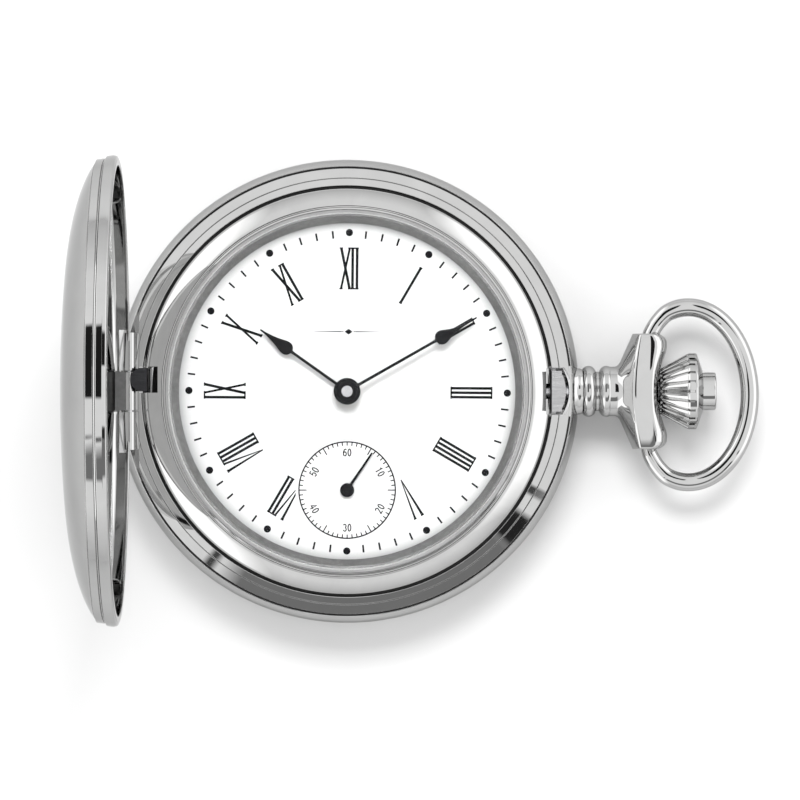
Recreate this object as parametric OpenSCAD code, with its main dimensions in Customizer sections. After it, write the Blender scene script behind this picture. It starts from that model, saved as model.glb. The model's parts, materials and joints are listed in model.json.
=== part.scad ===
/* [Case] */
// outer radius of the case band
case_r = 24; // [23.9:0.05:24.2]
// outer radius of the front lid
lid_r = 23.4; // [23.3:0.05:23.5]
// wall thickness of the lid and the back
wall = 0.75; // [0.65:0.05:0.8]
// depth of the lid from its rim to its crown
lid_depth = 5.6; // [5.4:0.1:6]
// radius of the hinge barrel
knuckle_r = 0.62; // [0.58:0.02:0.64]

/* [Pendant and bow] */
// radius of the bow's wire
bow_wire = 0.94; // [0.85:0.05:1]
// half height of the pendant's head
head_h = 5.96; // [5.8:0.05:6]
// number of flutes round the crown
flutes = 24; // [20:2:28]
// largest radius of the crown
crown_r = 3.94; // [3.8:0.05:4]

/* [Dial side] */
// thickness of the dial
dial_t = 0.4; // [0.3:0.05:0.45]
// length of the minute hand
minute_len = 15.4; // [14.5:0.1:16]
// length of the hour hand
hour_len = 11; // [10:0.1:11.5]
// height of the crystal's dome
dome_h = 1.3; // [1.1:0.1:1.4]

/* [View] */
// which piece to draw

/* [Hidden] */
$fn = 96;
e = 0.01;
// heights
z_rim = 2.6;
z_band = 7.75;
z_ledge = 8.0;
z_lid = 8.15;
z_stem = 4.9;
z_dial = 6.95;
z_plate0 = 5.0;
z_plate1 = 6.9;
z_br0 = 2.6;
z_br1 = 3.5;
mov_r = 18.3;
// lid hinge
hx = -22.4;
hz = z_lid;
// train places
P_barrel = [4.498, 7.796];
P_crown = [10.6, 0];
P_third = [4.118, -5.906];
P_fourth = [0, -10.2];
P_escape = [-4.675, -8.947];
P_pallet = [-7.187, -7.497];
P_balance = [-10.56, -5.55];
P_minute = [3.383, -1.232];
P_setting = P_minute + 4.2 * [cos(-10), sin(-10)];
P_click = [-2.3, 13.2];

function pol(r, a) = [r * cos(a), r * sin(a)];
function arcpts(c, r, a0, a1, n) = [for (i = [0:n]) c + pol(r, a0 + (a1 - a0) * i / n)];
function dir(p, q) = atan2(q[1] - p[1], q[0] - p[0]);
// phase of a gear so that it meshes with one whose teeth start at a1
function mate(a1, n1, phi, n2) = phi + 180 - 360 / n2 * ((a1 - phi) * n1 / 360 + 0.5);
function tooth(a, p, rr, rt, w0, w1) = [pol(rr, a - w0 * p), pol(rt, a - w1 * p), pol(rt, a + w1 * p), pol(rr, a + w0 * p)];

// flat gear outline with slim teeth
module gear2d(n, m, a0 = 0, ad = 0.75, de = 1.1)
  rotate(a0) polygon([for (i = [0:n - 1]) each tooth(360 / n * i, 360 / n, n * m / 2 - de * m, n * m / 2 + ad * m, 0.24, 0.11)]);

module wheel2d(n, m, a0, rim, spokes, hub, sp = 0.35) {
  difference() {
    gear2d(n, m, a0);
    circle(n * m / 2 - rim);
  }
  intersection() {
    circle(n * m / 2 - rim + 0.1);
    for (i = [0:spokes - 1]) rotate(360 / spokes * i + 15) translate([0, -sp / 2]) square([n * m / 2, sp]);
  }
  circle(hub);
}

module at(p, z = 0) translate([p[0], p[1], z]) children();
// revolve a (radius, x) profile about the stem's axis
module about_stem() translate([0, 0, z_stem]) rotate([0, 90, 0]) rotate_extrude($fn = 96) children();
module sector2d(a0, a1, r = 40) polygon([[0, 0], for (i = [0:6]) pol(r, a0 + (a1 - a0) * i / 6)]);

// ---------------------------------------------------------------- case
module band_profile() {
  h = (z_band - z_rim - 0.1) / 2;
  zc = (z_band + z_rim) / 2;
  b = case_r - 23.28;
  R = (h * h + b * b) / (2 * b);
  a = asin(h / R);
  polygon(concat([[21.0, z_rim], [23.05, z_rim]],
    arcpts([case_r - R, zc], R, -a, a, 14),
    [[23.24, z_band], [23.19, 7.72], [23.19, 7.32], [23.07, 7.32], [23.06, 7.57], [22.04, z_ledge - 0.05], [22.0, z_ledge - 0.12], [21.96, z_ledge - 0.10], [21.3, z_ledge + 0.13], [21.2, z_ledge - 0.1], [21.15, 7.6], [21.0, 7.55]]));
}

module hinge_axis(r, l, y0 = 0) translate([hx, y0 - l / 2, hz]) rotate([-90, 0, 0]) cylinder(r = r, h = l, $fn = 48);

module case_middle() color("silver") difference() {
  union() {
    rotate_extrude($fn = 180) band_profile();
    // lip that the back snaps over, and the flange that carries the movement ring
    rotate_extrude() polygon([[20.0, 2.62], [20.0, 2.95], [21.05, 2.95], [21.05, 2.62]]);
    rotate_extrude() polygon([[21.0, 1.95], [22.25, 1.95], [22.25, z_rim + e], [21.0, z_rim + e]]);
    for (s = [-1, 1]) translate([0, s * 4.08, 0]) {
      hinge_axis(knuckle_r, 3.96);
      translate([hx - 0.5, -1.98, 7.3]) cube([1, 3.96, 0.7]);
    }
  }
  // room for the moving knuckle and its leaf
  translate([-25, -2.12, 7.46]) cube([3.25, 4.24, 2]);
  // relief for the open lid's edge
  intersection() {
    hinge_axis(1.72, 18.4);
    translate([-25.2, -9.2, 6]) cube([2.05, 7.05, 3]);
  }
  intersection() {
    hinge_axis(1.72, 18.4);
    translate([-25.2, 2.15, 6]) cube([2.05, 7.05, 3]);
  }
  hinge_axis(0.3, 14);
  // bore of the pendant
  translate([20, 0, z_stem]) rotate([0, 90, 0]) cylinder(r = 1.9, h = 5);
  translate([23.45, 0, z_stem]) rotate([0, 90, 0]) cylinder(r = 2.7, h = 2);
  // channel of the catch spring
  translate([0, 0, 3.3]) linear_extrude(3.5) intersection() {
    difference() { circle(22.3); circle(20.5); }
    sector2d(-66, 12);
  }
  translate([20.5, -2.45, 5]) cube([2.35, 4.9, 3.2]);
  // lens-shaped sink in the ledge beside the catch
  intersection() {
    translate([18.7, 0, 7.2]) cylinder(r = 4.45, h = 1);
    translate([20.5, -2.45, 7.35]) cube([2.7, 4.9, 1]);
  }
  // channel of the lift spring
  translate([0, 0, 3.9]) linear_extrude(2.7) intersection() {
    difference() { circle(21.5); circle(20.5); }
    sector2d(172, 244);
  }
  translate([-21.45, -0.15, 4]) cube([1, 2.7, 5]);
}

module case_back() color("silver") difference() {
  union() {
    rotate_extrude($fn = 180) polygon(concat(
      [[0, 0]],
      [for (i = [0:12]) [15 + 7.5 * i / 12, 1.3 * pow(i / 12, 2.2)]],
      [[22.62, 1.3], [22.72, 1.42], [23.0, 1.55], [23.12, 1.55], [23.2, 1.66]],
      arcpts([23.0, 2.05], 0.4, -40, 60, 4),
      [[23.1, z_rim - 0.02], [22.28, z_rim - 0.02], [22.28, 1.9]],
      [for (i = [12:-1:0]) [15 + 6.9 * i / 12, wall + 1.0 * pow(i / 12, 2.2)]],
      [[0, wall]]));
  }
  // thumb-nail slot
  translate([0, -23.6, z_rim - 0.3]) cube([3.4, 1.1, 0.8], center = true);
}

function lid_out(t) = 1.9 * t * t + (lid_depth - 3.2) * (1 - sqrt(1 - pow(max(0, (t - 0.6) / 0.4), 2)));
function lid_in(t) = 1.7 * t * t + (lid_depth - 3.75) * (1 - sqrt(1 - pow(max(0, (t - 0.6) / 0.4), 2)));

module closed_lid() difference() {
  union() {
    difference() {
      rotate_extrude($fn = 180) polygon(concat(
        [for (i = [0:28]) let (t = 0.97 * sin(90 * i / 28)) [(lid_r - 0.18) * t, z_lid + lid_depth - lid_out(t)]],
        [[lid_r - 0.74, z_lid + 2.24], [lid_r - 0.82, z_lid + 2.15], [lid_r - 0.54, z_lid + 2.06], [lid_r - 0.34, z_lid + 1.62], [lid_r - 0.28, z_lid + 1.36], [lid_r - 0.38, z_lid + 1.24]],
        arcpts([lid_r - 0.6, z_lid + 0.62], 0.6, 62, -62, 8),
        [[lid_r - 0.42, z_lid], [lid_r - 1.05, z_lid], [lid_r - 1.05, z_lid + 0.2], [lid_r - wall, z_lid + 0.35]],
        [for (i = [20:-1:0]) let (t = sin(90 * i / 20)) [(lid_r - wall) * t, z_lid + lid_depth - wall - lid_in(t)]]));
      // straight cut beside the hinge
      translate([-25, -8.85, z_lid - 1]) cube([3.25, 17.7, 2.1]);
    }
    // leaf of the moving knuckle
    translate([hx - 0.5, -1.98, z_lid]) cube([1, 3.96, 1.5]);
    hinge_axis(knuckle_r, 3.96);
  }
  hinge_axis(0.34, 5);
  // thumb piece recess opposite the hinge
}

module front_lid() color("gainsboro") translate([hx, 0, hz]) rotate([0, -90, 0]) translate([-hx, 0, -hz]) closed_lid();

module lid_hinge_pin() color("gray") hinge_axis(0.3, 12.1);

module bezel() color("silver") difference() {
  rotate_extrude($fn = 180) polygon(concat(
    [[17.4, z_dial + dial_t + 0.08], [20.35, z_dial + dial_t + 0.08], [20.35, 7.5], [20.94, 7.5], [20.96, 8.0]],
    arcpts([17.33, 4.643], 4.99, 43.6, 68, 12),
    [[19.18, 9.27], [19.14, 9.27], [19.08, 9.1], [18.98, 9.1], [18.92, 9.36], [18.72, 9.44], [18.7, 8.6], [18.1, 8.6]]));
  // slot that the catch moves into
  translate([20.35, -2.4, 7.3]) cube([1, 4.8, 3]);
  // slot of the lift spring's finger
  translate([-21.2, -0.15, 7.3]) cube([1.7, 2.7, 3]);
}

module crystal() color([0.85, 0.9, 0.95, 0.35]) {
  R = (18.4 * 18.4 + dome_h * dome_h) / (2 * dome_h);
  a = asin(18.4 / R);
  rotate_extrude($fn = 180) polygon(concat(
    arcpts([0, 9.45 + dome_h - R], R, 90, 90 - a, 18),
    [[18.4, 8.62]],
    [for (i = [0:18]) let (r = 17.9 * (18 - i) / 18) [r, 8.62 + (dome_h - 0.05) * (1 - pow(r / 17.9, 2))]]));
}

module crystal_gasket() color("whitesmoke") rotate_extrude($fn = 180) translate([18.42, 8.62]) square([0.26, 0.76]);

module movement_ring() color("white") difference() {
  rotate_extrude($fn = 120) translate([18.36, 3.0]) square([1.94, z_dial + dial_t - 3.0]);
  translate([17, -2.2, z_stem - 2.0]) cube([5, 4.4, 4.0]);
  // room for the two springs when they are pressed in
  translate([0, 0, 3.9]) linear_extrude(5) intersection() { difference() { circle(22); circle(19.4); } sector2d(172, 246); }
}

module lift_spring() color("dimgray") difference() {
  union() {
  translate([0, 0, 8.86]) linear_extrude(0.5) difference() {
    union() {
      translate([-21.5, 0]) square([0.9, 2.4]);
      translate([-21.1, 1.2]) circle(1.2, $fn = 48);
    }
    translate([-20.6, -1]) square([3, 5]);
  }
  translate([-21.15, 0, 4.2]) cube([0.55, 2.4, 4.8]);
  translate([0, 0, 4.2]) linear_extrude(2.1) intersection() {
    difference() { circle(21.15); circle(20.6); }
    sector2d(176.8, 241);
  }
  }
  // long hole for the screw, so that the spring can give
  rotate([0, 0, 238]) translate([20, -1.6, 4.66]) cube([2, 2.25, 1.18]);
}

module lift_spring_screw() color("silver") rotate([0, 0, 238]) translate([20.32, 0, 5.25]) rotate([0, 90, 0]) {
  cylinder(r = 0.5, h = 1.16, $fn = 32);
}

module catch_spring() color("dimgray") difference() {
  union() {
    translate([0, 0, 3.6]) linear_extrude(2.9) intersection() {
      difference() { circle(21.7); circle(21.1); }
      sector2d(-56, 7);
    }
    translate([21.1, -2.1, 3.7]) cube([0.62, 4.2, 5.35]);
    translate([0, 0, 8.5]) linear_extrude(0.55) intersection() {
      translate([18.55, 0]) circle(4.0);
      translate([21.1, -2.1]) square([2, 4.2]);
    }
    translate([21.1, -2.1, 7.9]) cube([1.05, 4.2, 0.7]);
  }
  translate([20, 0, z_stem]) rotate([0, 90, 0]) cylinder(r = 1.0, h = 3);
}

module catch_spring_screw() color("silver") rotate([0, 0, -61]) translate([20.32, 0, z_stem]) rotate([0, 90, 0]) cylinder(r = 0.55, h = 1.9, $fn = 32);

// ---------------------------------------------------------------- pendant, bow, crown
module pendant() color("silver") difference() {
  union() {
    about_stem() polygon(concat(
      [[0, 22.95], [1.88, 22.95], [1.88, 23.48], [2.55, 23.48], [2.5, 24.35], [2.3, 24.45]],
      arcpts([1.85, 25.15], 0.8, -60, 60, 8),
      [[2.08, 25.84], [2.08, 26.02]],
      arcpts([1.85, 26.85], 0.8, -62, 50, 8),
      [[2.5, 27.55], [2.58, 27.9], [2.58, 29], [0, 29]]));
    intersection() {
      translate([0, 0, z_stem - 6]) linear_extrude(12) polygon(concat(
        [[27.4, -2.4], [27.4, 2.4], [27.8, 2.56], [28.05, 2.74], [28.25, 3.02], [29.45, head_h - 0.3], [29.58, head_h - 0.08], [29.75, head_h], [32.15, head_h], [32.75, head_h - 0.3], [33.1, head_h - 1.0], [33.12, 4.4], [32.75, 3.3], [32.35, 2.0], [32.2, 0],
         [32.35, -2.0], [32.75, -3.3], [33.12, -4.4], [33.1, 1.0 - head_h], [32.75, 0.3 - head_h], [32.15, -head_h],
         [29.75, -head_h], [29.58, 0.08 - head_h], [29.45, 0.3 - head_h], [28.25, -3.02], [28.05, -2.74], [27.8, -2.56]]));
      translate([0, 7, z_stem]) rotate([90, 0, 0]) linear_extrude(14) polygon(concat(
        [[27.3, -2.4], [27.3, 2.4]], [for (i = [0:8]) [27.6 + 2.4 * i / 8, 2.45 + 1.0 * pow(sin(90 * i / 8), 1.4)]],
        [[32.0, 3.45], [33.2, 3.2], [33.2, -3.2], [32.0, -3.45]], [for (i = [8:-1:0]) [27.6 + 2.4 * i / 8, -2.45 - 1.0 * pow(sin(90 * i / 8), 1.4)]]));
      translate([27, 0, z_stem]) rotate([90, 0, 90]) linear_extrude(7) intersection() {
        translate([0, -18.55]) circle(22, $fn = 240);
        translate([0, 18.55]) circle(22, $fn = 240);
        square([2 * head_h, 8], center = true);
      }
    }
  }
  about_stem() translate([0, 22]) square([1.3, 12]);
  // seat of the crown
  about_stem() polygon([[0, 31.3], [2.75, 31.3], [2.9, 32.3], [4.9, 34], [0, 34]]);
  // holes for the bow's ends
  for (s = [-1, 1]) translate([31.2, s * 5.05, z_stem]) rotate([90, 0, 0]) cylinder(r = 0.75, h = 2.1, center = true, $fn = 48);
}

module pendant_tube() color("goldenrod") about_stem() polygon([[0.85, 22.7], [1.28, 22.7], [1.28, 31.32], [1.6, 31.32], [1.6, 31.55], [0.85, 31.55]]);

// oval wire, thinner where its ends turn into the head
bow_a = 6.38;
bow_b = 9.07;
bow_x = 35.35;
pin_x = 31.2;
pin_r = 0.7;
function oval(t) = [bow_x + bow_a * cos(t), bow_b * sin(t)];
bow_top = [[pin_x, 4.25], [pin_x, 5.2], [pin_x, 6.02], [31.28, 6.45], [31.55, 6.95], [31.95, 7.45], [32.45, 7.95], [33.05, 8.4], [33.75, 8.76], [34.52, 8.99]];
bow_path = concat(bow_top, [for (i = [0:40]) oval(90 - 180 * i / 40)], [for (i = [len(bow_top) - 1:-1:0]) [bow_top[i][0], -bow_top[i][1]]]);
function wire_r(i) = let (k = min(i, len(bow_path) - 1 - i)) pin_r + (bow_wire - pin_r) * min(1, max(0, (k - 2) / 7));
module bow() color("silver") {
  n = len(bow_path);
  m = 20;
  pts = [for (i = [0:n - 1]) let (
    d = bow_path[min(i + 1, n - 1)] - bow_path[max(i - 1, 0)],
    u = d / norm(d), r = wire_r(i), c = bow_path[i])
    for (j = [0:m - 1]) [c[0] - u[1] * r * cos(360 * j / m), c[1] + u[0] * r * cos(360 * j / m), z_stem + r * sin(360 * j / m)]];
  polyhedron(points = pts, faces = concat(
    [[for (j = [0:m - 1]) j]],
    [[for (j = [m - 1:-1:0]) (n - 1) * m + j]],
    [for (i = [0:n - 2]) for (j = [0:m - 1]) let (k = (j + 1) % m) each [[i * m + j, (i + 1) * m + j, (i + 1) * m + k], [i * m + j, (i + 1) * m + k, i * m + k]]]));
}

module crown() color("silver") difference() {
  about_stem() polygon([[0.8, 32.0], [1.6, 32.0], [2.3, 32.42], [crown_r - 0.1, 35.2], [crown_r, 35.4], [crown_r, 36.1], [crown_r - 0.06, 36.2], [2.1, 36.84], [2.1, 34.65], [0.8, 34.65]]);
  for (i = [0:flutes - 1]) translate([0, 0, z_stem]) rotate([360 / flutes * i, 0, 0]) {
    translate([32.2, 0, 2.25]) rotate([0, 90 - atan2(crown_r - 2.4, 2.78), 0]) cylinder(r = 0.26, h = 3.6, $fn = 16);
    translate([35.3, -0.26, crown_r - 0.3]) cube([0.62, 0.52, 1]);
  }
}

module pusher() color("silver") about_stem() polygon([[0, 23.6], [0.36, 23.6], [0.36, 35.9], [1.95, 35.9], [1.95, 38.05], [1.8, 38.2], [0, 38.2]]);

module pusher_spring() color("gray") translate([34.85, 0, z_stem]) rotate([90, 0, 90]) linear_extrude(0.3) polygon(spiral(0.95, 1.9, 3, 0.12, 24));

// ---------------------------------------------------------------- dial and hands
module dial() color("white") difference() {
  translate([0, 0, z_dial]) cylinder(r = mov_r - 0.05, h = dial_t, $fn = 180);
  translate([0, 0, z_dial - 1]) cylinder(r = 1.15, h = 3);
  at(P_fourth, z_dial - 1) cylinder(r = 0.4, h = 3, $fn = 32);
  // sunk seconds dial
  at(P_fourth, z_dial + dial_t - 0.12) cylinder(r = 5.2, h = 1);
}

module hand_pear(r0, r1, r2, r3, w, stem, tip) {
  // stem, pear and needle in one outline
  n = 20;
  up = concat([[0, stem / 2], [r0, stem / 2]],
    [for (i = [1:n]) let (t = i / n, r = r0 + (r2 - r0) * t) [r, stem / 2 + (w / 2 - stem / 2) * pow(sin(180 * pow(t, 0.62)), 1.15)]],
    [[r3, tip / 2]]);
  polygon(concat(up, [for (i = [len(up) - 1:-1:0]) [up[i][0], -up[i][1]]]));
}

module hour_hand() color("black") rotate([0, 0, 90 + 54.6]) difference() {
  union() {
    translate([0, 0, 7.95]) linear_extrude(0.16) hand_pear(6.5, 7.7, 9.2, hour_len, 1.42, 0.34, 0.08);
    translate([0, 0, 7.9]) cylinder(r = 1.38, h = 0.3, $fn = 64);
  }
  translate([0, 0, 7]) cylinder(r = 0.95, h = 3, $fn = 48);
}

module minute_hand() color("black") rotate([0, 0, 90 - 60.4]) difference() {
  union() {
    translate([0, 0, 8.5]) linear_extrude(0.16) hand_pear(10.2, 11.3, 13.0, minute_len, 1.5, 0.34, 0.08);
    translate([0, 0, 8.45]) cylinder(r = 1.38, h = 0.3, $fn = 64);
  }
  translate([0, 0, 7]) cylinder(r = 0.58, h = 3, $fn = 48);
}

module seconds_hand() color("black") at(P_fourth) rotate([0, 0, 90 - 33.9]) difference() {
  union() {
    translate([0, 0, 7.5]) linear_extrude(0.12) polygon([[0, 0.15], [4.65, 0.07], [4.65, -0.07], [0, -0.15]]);
    translate([0, 0, 7.42]) cylinder(r = 0.73, h = 0.26, $fn = 48);
  }
  translate([0, 0, 7]) cylinder(r = 0.15, h = 0.5, $fn = 24);
}

// ---------------------------------------------------------------- movement
module capsule2d(p, q, r1, r2) {
  d = dir(p, q);
  at(p) circle(r1, $fn = 32);
  at(q) circle(r2, $fn = 32);
  polygon([p + pol(r1, d + 90), p + pol(r1, d - 90), q + pol(r2, d - 90), q + pol(r2, d + 90)]);
}

screws = [[-8.1, 9.5], [-5.5, 16.0], [16.0, 4.6], [8.6, -14.3], [-2.2, -16.6], [13.2, -9.8], [-14.0, 3.2]];
clamps = [95, 215, 335];

module barrel_bridge2d() intersection() {
  circle(17.9);
  polygon([[-9, 20], [20, 20], [20, -4.6], [7.0, -4.6], [5.2, -3.0], [2.2, -2.2], [-2.2, -2.2], [-9, 2.5]]);
}
module train_bridge2d() difference() {
  intersection() {
    circle(17.9);
    polygon([[20, -4.95], [6.8, -4.95], [4.9, -3.35], [2.0, -2.6], [-3.2, -2.6], [-5.0, -5.5], [-6, -20], [20, -20]]);
  }
  at(P_balance) circle(5.7);
}
module clamp_holes() for (a = clamps) at(pol(17.2, a), 2) cylinder(r = 0.85, h = 4, $fn = 32);
module screw_holes() for (p = screws) at(p, 2) cylinder(r = 0.36, h = 5, $fn = 24);

module main_plate() color("goldenrod") difference() {
  translate([0, 0, z_plate0]) cylinder(r = mov_r, h = z_plate1 - z_plate0, $fn = 180);
  // slot of the winding works
  translate([9.2, -1.95, 3]) cube([10, 3.9, 3.75]);
  // sink for the motion works and the setting works
  translate([0, 0, 6.1]) linear_extrude(2) intersection() {
    circle(17.6);
    union() {
      circle(5.6);
      polygon([[3, -5.5], [12.5, -6.5], [17.6, -4], [17.6, 5.4], [8, 6.3], [3, 4.5]]);
    }
  }
  translate([0, 0, 4]) cylinder(r = 0.85, h = 4, $fn = 48);
  at(P_barrel, 4) cylinder(r = 0.66, h = 1.7, $fn = 48);
  for (p = [P_third, P_fourth, P_escape, P_pallet, P_balance]) at(p, 4) cylinder(r = 0.62, h = 4, $fn = 48);
  screw_holes();
  for (a = clamps) at(pol(17.2, a), 4) cylinder(r = 0.36, h = 4, $fn = 24);
  at([16.4, 3.4], 5.5) cylinder(r = 0.42, h = 2, $fn = 32);
  // room for the setting lever when the crown is out
  translate([16.6, -0.95, 6.1]) cube([1.75, 2.3, 2]);
  translate([17.2, 1.3, 6.1]) cube([0.65, 2.15, 2]);
}

module barrel_bridge() color("silver") difference() {
  union() {
    translate([0, 0, z_br0]) linear_extrude(z_br1 - z_br0) barrel_bridge2d();
    translate([0, 0, z_br1 - e]) linear_extrude(z_plate0 - z_br1 + e) difference() {
      intersection() {
        barrel_bridge2d();
        union() {
          difference() { circle(17.9); circle(15.2); }
          translate([-12, -5]) square([4.8, 30]);
        }
      }
      at(P_barrel) circle(8.25);
      translate([7, -2.2]) square([14, 4.4]);
      translate([13.6, 2.9]) square([4.4, 1.1]);
    }
  }
  // sinks of the ratchet wheel, the crown wheel and the click
  translate([0, 0, z_br0 - 1]) linear_extrude(1.53) union() {
    at(P_barrel) circle(6.8);
    at(P_crown) circle(3.95);
    at(P_click) circle(2.3);
    capsule2d(P_click, click_tip, 1.4, 1.1);
  }
  clamp_holes();
  at(P_barrel, 2) cylinder(r = 0.85, h = 3, $fn = 48);
  at(P_crown, 2) cylinder(r = 0.5, h = 3, $fn = 32);
  translate([13.2, -1.95, 2.9]) cube([6, 3.9, 3]);
  translate([0, 0, 2]) cylinder(r = 0.62, h = 3, $fn = 48);
  screw_holes();
  at(P_click, 2) cylinder(r = 0.36, h = 3, $fn = 24);
}

module train_bridge() color("silver") difference() {
  union() {
    translate([0, 0, z_br0]) linear_extrude(z_br1 - z_br0) train_bridge2d();
    translate([0, 0, z_br1 - e]) linear_extrude(z_plate0 - z_br1 + e) intersection() {
      train_bridge2d();
      difference() { circle(17.9); circle(15.2); }
    }
    at([13.2, -9.8], z_br1 - e) cylinder(r = 1.6, h = z_plate0 - z_br1 + e, $fn = 48);
    at([8.6, -14.3], z_br1 - e) cylinder(r = 1.6, h = z_plate0 - z_br1 + e, $fn = 48);
  }
  for (p = [P_third, P_fourth, P_escape]) at(p, 2) cylinder(r = 0.62, h = 3, $fn = 48);
  screw_holes();
  clamp_holes();
}

module pallet_bridge() color("silver") {
  d = dir(P_escape, P_balance);
  difference() {
    union() {
      translate([0, 0, 3.58]) linear_extrude(0.26) capsule2d(P_pallet + pol(3.0, d + 112), P_pallet + pol(3.0, d - 112), 0.8, 0.8);
      for (s = [-1, 1]) at(P_pallet + pol(3.0, d + s * 112), 3.58) cylinder(r = 0.8, h = z_plate0 - 3.58, $fn = 32);
      at(P_pallet, 3.58) cylinder(r = 1.2, h = 0.26, $fn = 32);
    }
    at(P_pallet, 3) cylinder(r = 0.62, h = 3, $fn = 32);
  }
}

module balance_cock() color("silver") difference() {
  union() {
    translate([0, 0, 2.05]) linear_extrude(0.55) capsule2d([-14.0, 3.2], P_balance, 2.0, 1.35);
    at([-14.0, 3.2], 2.55) cylinder(r = 2.0, h = z_plate0 - 2.55, $fn = 64);
  }
  at(P_balance, 1) cylinder(r = 0.62, h = 3, $fn = 48);
  at([-14.0, 3.2], 1) cylinder(r = 0.36, h = 5, $fn = 24);
  at([-14.0, 3.2], 1.5) cylinder(r = 0.85, h = 0.85, $fn = 32);
}

module bridge_screws() color("steelblue") for (i = [0:6]) at(screws[i]) {
  z = i == 6 ? 2.08 : 2.33;
  difference() {
    translate([0, 0, z]) cylinder(r = 0.75, h = 0.27, $fn = 32);
    translate([0, 0, z]) cube([2, 0.16, 0.24], center = true);
  }
  translate([0, 0, z + 0.26]) cylinder(r = 0.35, h = 6.2 - z - 0.26, $fn = 24);
}

module case_clamp_screws() color("steelblue") for (a = clamps) at(pol(17.2, a)) {
  difference() {
    union() {
      translate([0, 0, z_plate0 - 0.3]) cylinder(r = 0.7, h = 0.3, $fn = 32);
      translate([0, 0, z_plate0 - 0.01]) cylinder(r = 0.35, h = 1.4, $fn = 24);
    }
    translate([0, 0, z_plate0 - 0.3]) cube([2, 0.16, 0.24], center = true);
  }
}

module jewel(h) difference() { cylinder(r = 0.62, h = h, $fn = 48); translate([0, 0, -1]) cylinder(r = 0.17, h = h + 2, $fn = 24); }

module train_jewels() color("crimson") {
  for (p = [P_third, P_escape, P_pallet]) at(p, 5.4) jewel(0.4);
  at(P_fourth, 5.4) difference() { cylinder(r = 0.62, h = 0.4, $fn = 48); translate([0, 0, -1]) cylinder(r = 0.26, h = 3, $fn = 24); }
  for (p = [P_third, P_fourth, P_escape]) at(p, 2.8) jewel(0.4);
  at(P_pallet, 3.58) jewel(0.26);
}

module balance_jewels() color("crimson") {
  at(P_balance, 5.4) jewel(0.3);
  at(P_balance, 5.75) cylinder(r = 0.62, h = 0.3, $fn = 48);
  at(P_balance, 2.3) jewel(0.3);
  at(P_balance, 1.95) cylinder(r = 0.62, h = 0.3, $fn = 48);
}

function spiral(r0, r1, turns, w, n) = let (N = turns * n) concat(
  [for (i = [0:N]) pol(r0 + (r1 - r0) * i / N + w / 2, 360 * turns * i / N)],
  [for (i = [N:-1:0]) pol(r0 + (r1 - r0) * i / N - w / 2, 360 * turns * i / N)]);

// barrel and winding
cp_phase = dir([0, 0], P_barrel);
module barrel() color("goldenrod") at(P_barrel) {
  difference() {
    union() {
      translate([0, 0, 4.62]) linear_extrude(0.3) gear2d(78, 0.2, mate(0, 12, dir([0, 0], P_barrel), 78));
      translate([0, 0, 3.98]) cylinder(r = 7.35, h = 0.7);
    }
    translate([0, 0, 4.1]) cylinder(r = 7.05, h = 0.68);
    translate([0, 0, 3]) cylinder(r = 0.86, h = 3, $fn = 48);
  }
}
module mainspring() color("steelblue") at(P_barrel, 4.14) linear_extrude(0.6) polygon(spiral(3.2, 6.8, 7, 0.18, 30));
module barrel_arbor() color("silver") at(P_barrel) difference() {
  union() {
    translate([0, 0, 4.14]) cylinder(r = 2.4, h = 0.6, $fn = 64);
    translate([0, 0, 3.2]) cylinder(r = 0.8, h = 1.8, $fn = 48);
    translate([0, 0, 4.9]) cylinder(r = 0.6, h = 0.75, $fn = 48);
    translate([-0.55, -0.55, 2.64]) cube([1.1, 1.1, 0.6]);
  }
  translate([0, 0, 2.3]) cylinder(r = 0.36, h = 0.8, $fn = 24);
}
rat_phase = mate(0, 24, dir(P_crown, P_barrel), 42);
module ratchet_wheel() color("silver") at(P_barrel, 2.64) difference() {
  linear_extrude(0.44) gear2d(42, 0.3, rat_phase);
  translate([-0.55, -0.55, -1]) cube([1.1, 1.1, 3]);
}
module ratchet_screw() color("steelblue") at(P_barrel) difference() {
  union() {
    translate([0, 0, 2.36]) cylinder(r = 1.5, h = 0.28, $fn = 48);
    translate([0, 0, 2.6]) cylinder(r = 0.35, h = 0.45, $fn = 24);
  }
  translate([0, 0, 2.36]) cube([4, 0.2, 0.24], center = true);
}
module crown_wheel() color("silver") at(P_crown, 2.64) difference() {
  linear_extrude(0.44) gear2d(24, 0.3, 0);
  translate([0, 0, -1]) cylinder(r = 1.05, h = 3, $fn = 48);
}
module crown_wheel_core() color("steelblue") at(P_crown) {
  translate([0, 0, 2.5]) cylinder(r = 1.5, h = 0.12, $fn = 48);
  translate([0, 0, 2.6]) cylinder(r = 1.0, h = 0.53, $fn = 48);
  translate([0, 0, 3.1]) cylinder(r = 0.48, h = 0.4, $fn = 32);
}
click_tip = P_barrel + pol(6.95, dir(P_barrel, P_click) - 14);
module click() color("silver") difference() {
  translate([0, 0, 2.66]) linear_extrude(0.4) difference() {
    capsule2d(P_click, click_tip, 0.95, 0.3);
    at(P_barrel) circle(6.66);
  }
  at(P_click, 2) cylinder(r = 0.4, h = 3, $fn = 24);
}
module click_spring() color("steelblue") union() {
  at(P_click, 2.3) cylinder(r = 0.75, h = 0.32, $fn = 32);
  at(P_click, 2.6) cylinder(r = 0.35, h = 0.85, $fn = 24);
  at(P_click, 2.72) linear_extrude(0.2) intersection() {
    difference() { circle(2.25); circle(2.1); }
    sector2d(60, 200, 5);
  }
  at(P_click, 2.44) linear_extrude(0.12) translate([-0.2, 0.5]) square([0.4, 1.7]);
  at(P_click, 2.44) linear_extrude(0.45) translate([-0.2, 2.06]) square([0.4, 0.18]);
}

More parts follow.
